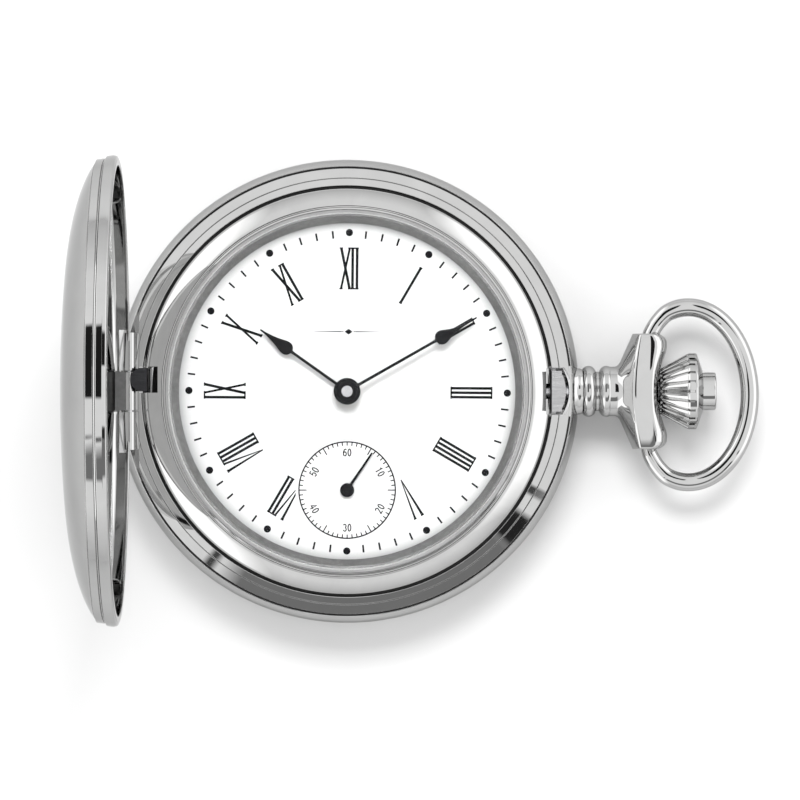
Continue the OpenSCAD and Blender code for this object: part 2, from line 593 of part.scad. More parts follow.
// stem works
module x_cyl(r, x0, x1) translate([x0, 0, z_stem]) rotate([0, 90, 0]) cylinder(r = r, h = x1 - x0, $fn = 48);
module winding_stem() color("silver") difference() {
  union() {
    x_cyl(0.3, 9.4, 10.6);
    translate([10.5, -0.32, z_stem - 0.32]) cube([3.2, 0.64, 0.64]);
    x_cyl(0.45, 13.6, 16.7);
    x_cyl(0.28, 16.6, 17.4);
    x_cyl(0.6, 17.3, 20.3);
    x_cyl(0.8, 20.2, 35.3);
  }
  x_cyl(0.42, 23.0, 36);
}
module winding_pinion() color("silver") difference() {
  translate([13.8, 0, z_stem]) rotate([90, 0, 90]) linear_extrude(1.7) gear2d(11, 0.3, 90, 0.4, 1.0);
  x_cyl(0.49, 13, 16);
}
module sliding_pinion() color("silver") difference() {
  union() {
    translate([10.7, 0, z_stem]) rotate([90, 0, 90]) linear_extrude(0.7) gear2d(12, 0.17, 0);
    x_cyl(0.78, 11.3, 12.4);
    x_cyl(1.1, 12.3, 13.3);
  }
  translate([9, -0.36, z_stem - 0.36]) cube([5, 0.72, 0.72]);
}
P_lever = [16.4, 3.4];
module setting_lever() color("silver") union() {
  translate([0, 0, 6.2]) linear_extrude(0.35) union() {
    capsule2d(P_lever, [17.0, 0.1], 0.8, 0.35);
    capsule2d(P_lever, [13.9, 3.9], 0.8, 0.35);
  }
  at([17.0, 0.1], 5.22) cylinder(r = 0.24, h = 1.2, $fn = 24);
  at(P_lever, 5.6) cylinder(r = 0.38, h = 0.8, $fn = 32);
}
module yoke() color("silver") difference() {
  union() {
    translate([0, 0, 6.2]) linear_extrude(0.3) union() {
      capsule2d([9.2, 4.4], [11.85, 0.9], 0.75, 0.3);
      capsule2d([9.2, 4.4], [12.6, 4.7], 0.75, 0.3);
    }
    translate([11.62, 0.7, 5.8]) cube([0.46, 0.5, 0.5]);
  }
  at([9.2, 4.4], 5) cylinder(r = 0.3, h = 3, $fn = 24);
}
module setting_lever_spring() color("silver") {
  at([9.2, 4.4], 6.1) cylinder(r = 0.26, h = 0.7, $fn = 24);
  translate([0, 0, 6.6]) linear_extrude(0.2) union() {
    capsule2d([9.2, 4.4], [14.6, 4.9], 0.7, 0.25);
  }
  at(P_setting, 6.1) cylinder(r = 0.35, h = 0.6, $fn = 24);
}
set_ph = mate(0, 36, dir(P_minute, P_setting), 20);
module setting_wheel() color("silver") at(P_setting, 6.2) difference() {
  linear_extrude(0.28) gear2d(20, 0.15, mate(min_phase, 36, dir(P_minute, P_setting), 20));
  translate([0, 0, -1]) cylinder(r = 0.4, h = 3, $fn = 32);
}
// motion works
min_phase = mate(0, 12, dir([0, 0], P_minute), 36);
module minute_wheel() color("goldenrod") at(P_minute) difference() {
  union() {
    translate([0, 0, 6.2]) linear_extrude(0.2) gear2d(36, 0.15, min_phase);
    translate([0, 0, 6.35]) linear_extrude(0.5) gear2d(10, 0.144, 0, 0.55, 1.0);
  }
  translate([0, 0, 5]) cylinder(r = 0.25, h = 3, $fn = 24);
}
module cannon_pinion() color("silver") difference() {
  union() {
    translate([0, 0, 6.12]) linear_extrude(0.38) gear2d(12, 0.15, 0, 0.6, 1.0);
    translate([0, 0, 6.12]) cylinder(r = 0.57, h = 2.93, $fn = 48);
  }
  translate([0, 0, 5]) cylinder(r = 0.3, h = 3.7, $fn = 32);
}
module hour_wheel() color("goldenrod") difference() {
  union() {
    translate([0, 0, 6.58]) linear_extrude(0.22) gear2d(40, 0.144, mate(0, 10, dir(P_minute, [0, 0]), 40));
    translate([0, 0, 6.58]) cylinder(r = 0.94, h = 1.6, $fn = 48);
  }
  translate([0, 0, 5]) cylinder(r = 0.62, h = 4, $fn = 48);
}
// going train
module arbor(r, z0, z1, p = 0.13, l = 0.5) {
  translate([0, 0, z0]) cylinder(r = r, h = z1 - z0, $fn = 32);
  translate([0, 0, z0 - l]) cylinder(r = p, h = z1 - z0 + 2 * l, $fn = 24);
}
module centre_wheel() color("goldenrod") {
  translate([0, 0, 3.6]) linear_extrude(0.16) wheel2d(80, 0.16, 0, 0.8, 5, 1.3, 0.6);
  translate([0, 0, 4.5]) linear_extrude(0.46) gear2d(12, 0.2, 0, 0.6, 1.0);
  translate([0, 0, 3.55]) cylinder(r = 0.8, h = 1.4, $fn = 48);
  translate([0, 0, 2.85]) cylinder(r = 0.55, h = 3.2, $fn = 48);
  translate([0, 0, 6.0]) cylinder(r = 0.3, h = 2.65, $fn = 32);
}
third_pin = mate(0, 80, dir([0, 0], P_third), 10);
module third_wheel() color("goldenrod") at(P_third) {
  translate([0, 0, 4.2]) linear_extrude(0.15) wheel2d(75, 0.14, 0, 0.7, 5, 1.1, 0.45);
  translate([0, 0, 3.55]) linear_extrude(0.66) gear2d(10, 0.16, third_pin, 0.55, 1.0);
  arbor(0.45, 3.3, 5.3);
}
fourth_pin = mate(0, 75, dir(P_third, P_fourth), 10);
module fourth_wheel() color("goldenrod") at(P_fourth) {
  translate([0, 0, 4.6]) linear_extrude(0.15) wheel2d(80, 0.11, 0, 0.6, 5, 1.0, 0.4);
  translate([0, 0, 4.05]) linear_extrude(0.56) gear2d(10, 0.14, fourth_pin, 0.55, 1.0);
  arbor(0.4, 3.3, 5.35, 0.13, 0.5);
  translate([0, 0, 5.3]) cylinder(r = 0.22, h = 1.7, $fn = 24);
  translate([0, 0, 6.9]) cylinder(r = 0.15, h = 0.6, $fn = 24);
}
esc_pin = mate(0, 80, dir(P_fourth, P_escape), 8);
module escape_wheel() color("silver") at(P_escape) {
  translate([0, 0, 4.0]) linear_extrude(0.14) union() {
    difference() {
      polygon([for (i = [0:14]) each [pol(1.6, 24 * i - 7), pol(2.15, 24 * i - 1.2), pol(2.12, 24 * i + 1.6), pol(1.6, 24 * i + 2)]]);
      circle(1.25);
    }
    for (i = [0:3]) rotate(90 * i) translate([0, -0.12]) square([1.4, 0.24]);
    circle(0.5);
  }
  translate([0, 0, 4.45]) linear_extrude(0.42) gear2d(8, 0.11, esc_pin, 0.5, 1.0);
  arbor(0.3, 3.3, 5.3);
}
pd = dir(P_escape, P_pallet);
pb = dir(P_pallet, P_balance);
function stone(s) = P_escape + pol(2.2, pd + 30 * s);
module pallet_fork() color("silver") difference() {
  union() {
    translate([0, 0, 3.95]) linear_extrude(0.2) difference() {
      union() {
        for (s = [-1, 1]) capsule2d(P_pallet, P_escape + pol(2.75, pd + 30 * s), 0.4, 0.3);
        capsule2d(P_pallet, P_pallet + pol(3.2, pb), 0.3, 0.28);
      }
      for (s = [-1, 1]) at(stone(s)) rotate(pd + 30 * s) translate([-0.5, -0.13]) square([1.05, 0.26]);
      at(P_pallet + pol(3.4, pb)) rotate(pb) square([0.5, 0.24], center = true);
    }
    at(P_pallet, 3.88) cylinder(r = 0.25, h = 1.4, $fn = 24);
    at(P_pallet, 3.62) cylinder(r = 0.13, h = 2.0, $fn = 24);
  }
}
module pallet_stones() color("crimson") for (s = [-1, 1]) at(stone(s), 3.93) rotate(pd + 30 * s) translate([0, -0.13]) cube([0.55, 0.26, 0.22]);
module balance_wheel() color("goldenrod") at(P_balance) {
  translate([0, 0, 3.0]) difference() {
    cylinder(r = 5.0, h = 0.45);
    translate([0, 0, -1]) cylinder(r = 4.45, h = 3);
  }
  translate([0, 0, 3.12]) linear_extrude(0.2) difference() {
    union() {
      for (i = [0:2]) rotate(120 * i + 20) translate([0, -0.3]) square([4.6, 0.6]);
      circle(0.9, $fn = 48);
    }
    circle(0.36, $fn = 32);
  }
}
module balance_staff() color("silver") at(P_balance) {
  translate([0, 0, 2.7]) cylinder(r = 0.36, h = 2.4, $fn = 32);
  translate([0, 0, 2.28]) cylinder(r = 0.12, h = 3.4, $fn = 24);
  translate([0, 0, 3.9]) difference() {
    cylinder(r = 0.75, h = 0.16, $fn = 48);
    translate([0, 0, -1]) cylinder(r = 0.3, h = 3);
  }
  rotate(pb + 180) translate([0.56, 0, 3.9]) cylinder(r = 0.09, h = 0.3, $fn = 24);
}
module hairspring() color("steelblue") at(P_balance, 2.74) linear_extrude(0.12) polygon(spiral(0.75, 3.1, 9, 0.07, 28));
module regulator() color("silver") at(P_balance, 1.78) linear_extrude(0.17) difference() {
  union() {
    circle(1.15, $fn = 48);
    rotate(200) translate([0, -0.2]) square([3.2, 0.4]);
    rotate(200) translate([3.2, 0]) circle(0.35, $fn = 24);
  }
  circle(0.7, $fn = 48);
}

case_middle();
case_back();
front_lid();
lid_hinge_pin();
bezel();
crystal();
crystal_gasket();
movement_ring();
lift_spring();
lift_spring_screw();
catch_spring();
catch_spring_screw();
pendant();
pendant_tube();
bow();
crown();
pusher();
pusher_spring();
dial();
hour_hand();
minute_hand();
seconds_hand();
main_plate();
barrel_bridge();
train_bridge();
pallet_bridge();
balance_cock();
bridge_screws();
case_clamp_screws();
train_jewels();
balance_jewels();
barrel();
mainspring();
barrel_arbor();
ratchet_wheel();
ratchet_screw();
crown_wheel();
crown_wheel_core();
click();
click_spring();
winding_stem();
winding_pinion();
sliding_pinion();
setting_lever();
yoke();
setting_lever_spring();
setting_wheel();
minute_wheel();
cannon_pinion();
hour_wheel();
centre_wheel();
third_wheel();
fourth_wheel();
escape_wheel();
pallet_fork();
pallet_stones();
balance_wheel();
balance_staff();
hairspring();
regulator();
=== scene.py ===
import json
import math
import random

import bmesh
import bpy
import numpy as np
from mathutils import Matrix, Vector

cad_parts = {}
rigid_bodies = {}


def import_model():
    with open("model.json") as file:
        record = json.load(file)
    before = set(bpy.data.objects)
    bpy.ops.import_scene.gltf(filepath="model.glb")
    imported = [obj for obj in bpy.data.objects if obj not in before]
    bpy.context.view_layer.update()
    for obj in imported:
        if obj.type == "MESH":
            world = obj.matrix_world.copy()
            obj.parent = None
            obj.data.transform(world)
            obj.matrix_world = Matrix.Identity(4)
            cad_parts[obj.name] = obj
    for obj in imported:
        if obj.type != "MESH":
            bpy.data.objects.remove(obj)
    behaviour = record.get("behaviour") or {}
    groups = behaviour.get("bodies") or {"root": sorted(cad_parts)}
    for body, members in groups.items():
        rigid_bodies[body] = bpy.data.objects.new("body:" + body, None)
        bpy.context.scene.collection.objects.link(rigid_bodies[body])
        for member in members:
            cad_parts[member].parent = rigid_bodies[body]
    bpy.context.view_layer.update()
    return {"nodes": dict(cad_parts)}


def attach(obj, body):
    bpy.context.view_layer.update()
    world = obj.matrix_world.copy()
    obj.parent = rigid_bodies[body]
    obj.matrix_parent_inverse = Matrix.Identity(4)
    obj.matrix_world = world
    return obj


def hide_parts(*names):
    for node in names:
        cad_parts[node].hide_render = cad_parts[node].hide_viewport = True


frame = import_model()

MM = 0.001
PI = math.pi
Z_STEM = 4.9
HX, HZ = -22.4, 8.15
LID_R, LID_DEPTH, WALL, Z_LID = 23.4, 5.6, 0.75, 8.15
P_SEC = (0.0, -10.2)


# ------------------------------------------------------------------ node helpers
def new_material(name):
    mat = bpy.data.materials.new(name)
    mat.use_nodes = True
    nt = mat.node_tree
    return mat, nt, nt.nodes["Principled BSDF"]


def mm_coords(nt, scale=(1, 1, 1), rot=(0, 0, 0), loc=(0, 0, 0)):
    tc = nt.nodes.new("ShaderNodeTexCoord")
    mp = nt.nodes.new("ShaderNodeMapping")
    mp.inputs["Scale"].default_value = [1000 * s for s in scale]
    mp.inputs["Rotation"].default_value = rot
    mp.inputs["Location"].default_value = loc
    nt.links.new(tc.outputs["Object"], mp.inputs["Vector"])
    return mp.outputs["Vector"]


def noise(nt, vec, scale, detail=3.0, rough=0.55, distortion=0.0):
    n = nt.nodes.new("ShaderNodeTexNoise")
    n.inputs["Scale"].default_value = scale
    n.inputs["Detail"].default_value = detail
    n.inputs["Roughness"].default_value = rough
    n.inputs["Distortion"].default_value = distortion
    nt.links.new(vec, n.inputs["Vector"])
    return n.outputs["Fac"]


def ramp(nt, fac, stops, interp="LINEAR"):
    r = nt.nodes.new("ShaderNodeValToRGB")
    r.color_ramp.interpolation = interp
    els = r.color_ramp.elements
    while len(els) > 1:
        els.remove(els[-1])
    for i, (p, c) in enumerate(stops):
        el = els[0] if i == 0 else els.new(p)
        el.position = p
        el.color = (c, c, c, 1) if not hasattr(c, "__len__") else (*c, 1)
    nt.links.new(fac, r.inputs["Fac"])
    return r.outputs["Color"]


def maths(nt, op, a, b=None, clamp=False):
    m = nt.nodes.new("ShaderNodeMath")
    m.operation = op
    m.use_clamp = clamp
    for i, v in enumerate((a, b)):
        if v is None:
            continue
        if isinstance(v, (int, float)):
            m.inputs[i].default_value = v
        else:
            nt.links.new(v, m.inputs[i])
    return m.outputs[0]


def bump(nt, bsdf, height, strength, distance_mm, normal=None):
    b = nt.nodes.new("ShaderNodeBump")
    b.inputs["Strength"].default_value = strength
    b.inputs["Distance"].default_value = distance_mm * MM
    nt.links.new(height, b.inputs["Height"])
    if normal is not None:
        nt.links.new(normal, b.inputs["Normal"])
    nt.links.new(b.outputs["Normal"], bsdf.inputs["Normal"])
    return b.outputs["Normal"]


def metal(name, lo, hi, r0, r1, scale=0.5, scratch=0.03, grain=(60, 60, 60), turn=(0.3, 0.2, 0.5), relief=0.0006):
    """Metal whose colour and gloss wander a little, with fine scratches."""
    mat, nt, bsdf = new_material(name)
    bsdf.inputs["Metallic"].default_value = 1.0
    vec = mm_coords(nt)
    broad = noise(nt, vec, scale, 4.0, 0.6, 0.4)
    nt.links.new(ramp(nt, broad, [(0.3, lo), (0.7, hi)]), bsdf.inputs["Base Color"])
    fine_vec = mm_coords(nt, scale=[g / 60 for g in grain], rot=turn)
    fine = noise(nt, fine_vec, 9.0, 2.0, 0.5)
    smear = ramp(nt, noise(nt, vec, scale * 2.7, 3.0, 0.5, 0.8), [(0.35, r0), (0.75, r1)])
    marks = maths(nt, "MULTIPLY", ramp(nt, fine, [(0.56, 0.0), (0.66, 1.0)]), scratch)
    nt.links.new(maths(nt, "ADD", smear, marks), bsdf.inputs["Roughness"])
    bump(nt, bsdf, fine, 0.25, relief)
    return mat


def chrome_material(name="polished_chrome"):
    mat = metal(name, (0.50, 0.50, 0.498), (0.54, 0.54, 0.537), 0.018, 0.045, scale=0.25, scratch=0.02,
                grain=(6, 60, 60), relief=0.00012)
    mat.node_tree.nodes["Principled BSDF"].inputs["Specular Tint"].default_value = (0.7, 0.7, 0.7, 1)
    return mat


def brushed(name, base_lo, base_hi, axis, rough=0.28):
    """Ground steel with straight grain along one axis."""
    mat, nt, bsdf = new_material(name)
    bsdf.inputs["Metallic"].default_value = 1.0
    s = [7.0, 7.0, 7.0]
    s["XYZ".index(axis)] = 0.25
    vec = mm_coords(nt, scale=s)
    g = noise(nt, vec, 2.2, 5.0, 0.65)
    nt.links.new(ramp(nt, g, [(0.3, base_lo), (0.7, base_hi)]), bsdf.inputs["Base Color"])
    nt.links.new(ramp(nt, g, [(0.3, rough + 0.1), (0.7, rough - 0.08)]), bsdf.inputs["Roughness"])
    bump(nt, bsdf, g, 0.5, 0.01)
    return mat


def striped(name, lo, hi, pitch=1.6, angle=0.5):
    """Bridge plating with broad wavy stripes, each ground to one side."""
    mat, nt, bsdf = new_material(name)
    bsdf.inputs["Metallic"].default_value = 1.0
    vec = mm_coords(nt, rot=(0, 0, angle))
    w = nt.nodes.new("ShaderNodeTexWave")
    w.wave_type = "BANDS"
    w.wave_profile = "SAW"
    w.inputs["Scale"].default_value = 1.0 / (pitch * 3.18)
    w.inputs["Distortion"].default_value = 0.35
    w.inputs["Detail"].default_value = 2.0
    nt.links.new(vec, w.inputs["Vector"])
    g = noise(nt, mm_coords(nt, scale=(1, 9, 9), rot=(0, 0, angle)), 4.0, 4.0)
    mixed = maths(nt, "ADD", maths(nt, "MULTIPLY", w.outputs["Fac"], 0.7), maths(nt, "MULTIPLY", g, 0.3))
    nt.links.new(ramp(nt, mixed, [(0.1, lo), (0.9, hi)]), bsdf.inputs["Base Color"])
    nt.links.new(ramp(nt, mixed, [(0.1, 0.34), (0.9, 0.2)]), bsdf.inputs["Roughness"])
    bump(nt, bsdf, mixed, 0.35, 0.012)
    return mat


def coloured_metal(name, lo, hi, rough=0.24):
    mat, nt, bsdf = new_material(name)
    bsdf.inputs["Metallic"].default_value = 1.0
    vec = mm_coords(nt)
    g = noise(nt, vec, 1.6, 4.0, 0.6)
    nt.links.new(ramp(nt, g, [(0.3, lo), (0.7, hi)]), bsdf.inputs["Base Color"])
    nt.links.new(ramp(nt, noise(nt, vec, 7.0, 3.0), [(0.3, rough - 0.05), (0.7, rough + 0.1)]), bsdf.inputs["Roughness"])
    bump(nt, bsdf, noise(nt, vec, 18.0, 2.0), 0.2, 0.004)
    return mat


def plastic(name, lo, hi, rough=0.45, grain=14.0, coat=0.0, level=0.5):
    mat, nt, bsdf = new_material(name)
    bsdf.inputs["Specular IOR Level"].default_value = level
    vec = mm_coords(nt)
    g = noise(nt, vec, grain, 4.0, 0.6)
    nt.links.new(ramp(nt, noise(nt, vec, 0.4, 3.0), [(0.3, lo), (0.7, hi)]), bsdf.inputs["Base Color"])
    nt.links.new(ramp(nt, g, [(0.3, rough - 0.06), (0.7, rough + 0.08)]), bsdf.inputs["Roughness"])
    bsdf.inputs["Coat Weight"].default_value = coat
    bsdf.inputs["Coat Roughness"].default_value = 0.12
    bump(nt, bsdf, g, 0.15, 0.006)
    return mat


def glass(name, colour, rough=0.0, ior=1.5, lamps=True):
    mat, nt, bsdf = new_material(name)
    bsdf.inputs["Transmission Weight"].default_value = 1.0
    bsdf.inputs["IOR"].default_value = ior
    bsdf.inputs["Roughness"].default_value = rough
    vec = mm_coords(nt)
    c1 = [c * 0.985 for c in colour]
    nt.links.new(ramp(nt, noise(nt, vec, 0.15, 2.0), [(0.2, tuple(c1)), (0.8, tuple(colour))]), bsdf.inputs["Base Color"])
    if lamps:
        out = nt.nodes["Material Output"]
        lp = nt.nodes.new("ShaderNodeLightPath")
        tr = nt.nodes.new("ShaderNodeBsdfTransparent")
        tr.inputs["Color"].default_value = (*colour, 1)
        mx = nt.nodes.new("ShaderNodeMixShader")
        nt.links.new(lp.outputs["Is Shadow Ray"], mx.inputs["Fac"])
        nt.links.new(bsdf.outputs[0], mx.inputs[1])
        nt.links.new(tr.outputs[0], mx.inputs[2])
        nt.links.new(mx.outputs[0], out.inputs["Surface"])
    return mat


M_CHROME = chrome_material()
M_SPRING = brushed("ground_spring_steel", (0.42, 0.42, 0.43), (0.62, 0.62, 0.62), "X", 0.3)
# painted shade: a near-black copy of the ground spring steel, for the lift spring that sits in shade in its slot
M_SPRING_PAINTED_SHADE = brushed("spring_steel_painted_shade", (0.035, 0.035, 0.038), (0.075, 0.075, 0.08), "X", 0.34)
M_STEEL = coloured_metal("turned_steel", (0.58, 0.58, 0.6), (0.7, 0.7, 0.71), 0.2)
M_NICKEL = striped("striped_nickel", (0.62, 0.61, 0.58), (0.8, 0.79, 0.76))
M_BRASS = coloured_metal("gilt_brass", (0.72, 0.53, 0.24), (0.84, 0.65, 0.34), 0.22)
M_BLUE = coloured_metal("blued_steel", (0.05, 0.08, 0.33), (0.1, 0.17, 0.5), 0.18)
M_RUBY = glass("ruby", (0.72, 0.03, 0.1), 0.02, lamps=False)
M_CRYSTAL = glass("mineral_crystal", (0.992, 0.995, 0.994), 0.0, ior=1.09)
M_GASKET = plastic("gasket_plastic", (0.26, 0.26, 0.26), (0.32, 0.32, 0.32), 0.4)
# painted shade: near-black plastic laid as thin sheets in grooves and slots where there is only shade
M_PAINTED_SHADE = plastic("painted_groove_shade", (0.006, 0.006, 0.006), (0.012, 0.012, 0.012), 0.7)
M_SATIN = coloured_metal("satin_inner_ring", (0.19, 0.19, 0.19), (0.25, 0.25, 0.25), 0.34)
M_RING = plastic("ring_plastic", (0.02, 0.02, 0.02), (0.035, 0.035, 0.035), 0.5)
M_DIAL = plastic("white_lacquer", (0.585, 0.585, 0.585), (0.6, 0.6, 0.6), 0.42, grain=9.0, coat=0.1, level=0.3)
# painted shade: the lacquer's colour is darkened toward the rim of the dial, standing in for the shadow the surrounding
# ring casts on it
_nt = M_DIAL.node_tree
_sep = _nt.nodes.new("ShaderNodeSeparateXYZ")
_nt.links.new(mm_coords(_nt), _sep.inputs[0])
_r = maths(_nt, "SQRT", maths(_nt, "ADD", maths(_nt, "MULTIPLY", _sep.outputs[0], _sep.outputs[0]), maths(_nt, "MULTIPLY", _sep.outputs[1], _sep.outputs[1])), 0.0)
_rim_painted_shade = ramp(_nt, maths(_nt, "DIVIDE", _r, 20.0), [(0.76, 1.0), (0.80, 0.97), (0.83, 0.87), (0.85, 0.70), (0.862, 0.58), (0.872, 0.45)])
_base = _nt.nodes["Principled BSDF"].inputs["Base Color"]
_old = _base.links[0].from_socket
_mul = _nt.nodes.new("ShaderNodeMixRGB")
_mul.blend_type = "MULTIPLY"
_mul.inputs["Fac"].default_value = 1.0
_nt.links.new(_old, _mul.inputs["Color1"])
_nt.links.new(_rim_painted_shade, _mul.inputs["Color2"])
_nt.links.new(_mul.outputs["Color"], _base)
M_INK = plastic("black_print", (0.006, 0.006, 0.007), (0.010, 0.010, 0.011), 0.5, grain=20.0, level=0.04)
M_HAND = plastic("black_lacquer", (0.006, 0.006, 0.007), (0.012, 0.012, 0.013), 0.22, grain=11.0, coat=0.0, level=0.1)

BY_SLOT = {
    "polished_steel": M_CHROME, "spring_steel": M_SPRING, "nickel_plate": M_NICKEL, "brass": M_BRASS,
    "blued_steel": M_BLUE, "ruby": M_RUBY, "crystal": M_CRYSTAL, "gasket": M_GASKET,
    "ring_plastic": M_RING, "dial_white": M_DIAL, "hand_black": M_HAND,
}


# ------------------------------------------------------------------ mesh helpers
def add_object(name, me):
    o = bpy.data.objects.new(name, me)
    bpy.context.scene.collection.objects.link(o)
    return o


def solid(name, verts, faces, mat=None, smooth=True):
    """A mesh object from points in mm. Faces are turned outward."""
    me = bpy.data.meshes.new(name)
    me.from_pydata([(x * MM, y * MM, z * MM) for x, y, z in verts], [], faces)
    bm = bmesh.new()
    bm.from_mesh(me)
    bmesh.ops.remove_doubles(bm, verts=bm.verts, dist=1e-8)
    bmesh.ops.dissolve_degenerate(bm, dist=1e-8, edges=bm.edges)
    bmesh.ops.recalc_face_normals(bm, faces=bm.faces)
    bm.to_mesh(me)
    bm.free()
    if smooth:
        me.polygons.foreach_set("use_smooth", [True] * len(me.polygons))
    if mat is not None:
        me.materials.append(mat)
    me.update()
    return add_object(name, me)


def rounded(pts, k=5):
    """A closed outline from corners (x, y) or (x, y, radius), the latter rounded off."""
    out = []
    n = len(pts)
    for i, p in enumerate(pts):
        r = p[2] if len(p) > 2 else 0
        b = np.array(p[:2], float)
        if r <= 0:
            out.append(tuple(b))
            continue
        a, c = np.array(pts[i - 1][:2], float), np.array(pts[(i + 1) % n][:2], float)
        u, v = a - b, c - b
        lu, lv = np.linalg.norm(u), np.linalg.norm(v)
        u, v = u / lu, v / lv
        half = math.acos(max(-1, min(1, float(u @ v)))) / 2
        if half > PI / 2 - 0.03:
            out.append(tuple(b))
            continue
        t = min(r / math.tan(half), 0.45 * lu, 0.45 * lv)
        r = t * math.tan(half)
        centre = b + (u + v) / np.linalg.norm(u + v) * (r / math.sin(half))
        s, e = b + u * t - centre, b + v * t - centre
        a0, a1 = math.atan2(s[1], s[0]), math.atan2(e[1], e[0])
        d = (a1 - a0 + PI) % (2 * PI) - PI
        for j in range(k + 1):
            q = a0 + d * j / k
            out.append((centre[0] + r * math.cos(q), centre[1] + r * math.sin(q)))
    return out


def arc(cx, cy, r, a0, a1, n):
    return [(cx + r * math.cos(math.radians(a0 + (a1 - a0) * i / n)), cy + r * math.sin(math.radians(a0 + (a1 - a0) * i / n))) for i in range(n + 1)]


class Rev:
    """A surface turned from a closed (radius, height) outline about an axis."""

    def __init__(self, prof, axis="Z", origin=(0, 0, 0), sharp=34):
        p = np.array([q[:2] for q in prof], float)
        keep = [i for i in range(len(p)) if np.linalg.norm(p[i] - p[i - 1]) > 1e-5]
        p = p[keep]
        area = 0.5 * np.sum(p[:, 0] * np.roll(p[:, 1], -1) - np.roll(p[:, 0], -1) * p[:, 1])
        if area < 0:
            p = p[::-1].copy()
        self.p, self.origin = p, np.array(origin, float)
        self.ax = {"Z": np.eye(3), "X": np.array([[0, 1, 0], [0, 0, 1], [1, 0, 0]], float), "Y": np.array([[0, 0, 1], [1, 0, 0], [0, 1, 0]], float)}[axis]
        d = np.roll(p, -1, 0) - p
        ln = np.linalg.norm(d, axis=1)
        nv = np.stack([d[:, 1], -d[:, 0]], 1) / ln[:, None]
        c = math.cos(math.radians(sharp))
        self.n0, self.n1, self.nv, self.len = nv.copy(), nv.copy(), nv, ln
        n = len(p)
        for i in range(n):
            j = (i - 1) % n
            if p[i, 0] < 1e-6:
                axial = np.array([0.0, 1.0 if (nv[i, 1] if p[(i + 1) % n, 0] > 1e-6 else nv[j, 1]) > 0 else -1.0])
                if p[(i + 1) % n, 0] > 1e-6 and abs(nv[i, 1]) > 0.8:
                    self.n0[i] = axial
                if p[j, 0] > 1e-6 and abs(nv[j, 1]) > 0.8:
                    self.n1[j] = axial
                continue
            if nv[i] @ nv[j] > c:
                w = nv[i] * ln[i] + nv[j] * ln[j]
                w /= np.linalg.norm(w)
                self.n0[i] = w
                self.n1[j] = w

    def point(self, r, a, t):
        return self.origin + r * math.cos(t) * self.ax[0] + r * math.sin(t) * self.ax[1] + a * self.ax[2]

    def build(self, name, mat, n=240, phase=0.0):
        verts, faces, idx = [], [], []
        for r, a in self.p:
            if r < 1e-6:
                idx.append([len(verts)] * n)
                verts.append(tuple(self.point(0, a, 0)))
            else:
                idx.append(list(range(len(verts), len(verts) + n)))
                t = phase + 2 * PI * np.arange(n) / n
                ring = self.origin + r * np.cos(t)[:, None] * self.ax[0] + r * np.sin(t)[:, None] * self.ax[1] + a * self.ax[2]
                verts += ring.tolist()
        m = len(self.p)
        for i in range(m):
            a, b = idx[i], idx[(i + 1) % m]
            if self.p[i, 0] < 1e-6 and self.p[(i + 1) % m, 0] < 1e-6:
                continue
            for j in range(n):
                k = (j + 1) % n
                f = [a[j], a[k], b[k], b[j]]
                f = [q for t, q in enumerate(f) if q not in f[:t]]
                faces.append(f)
        o = solid(name, verts, faces, mat)
        o["n_around"] = n
        return o


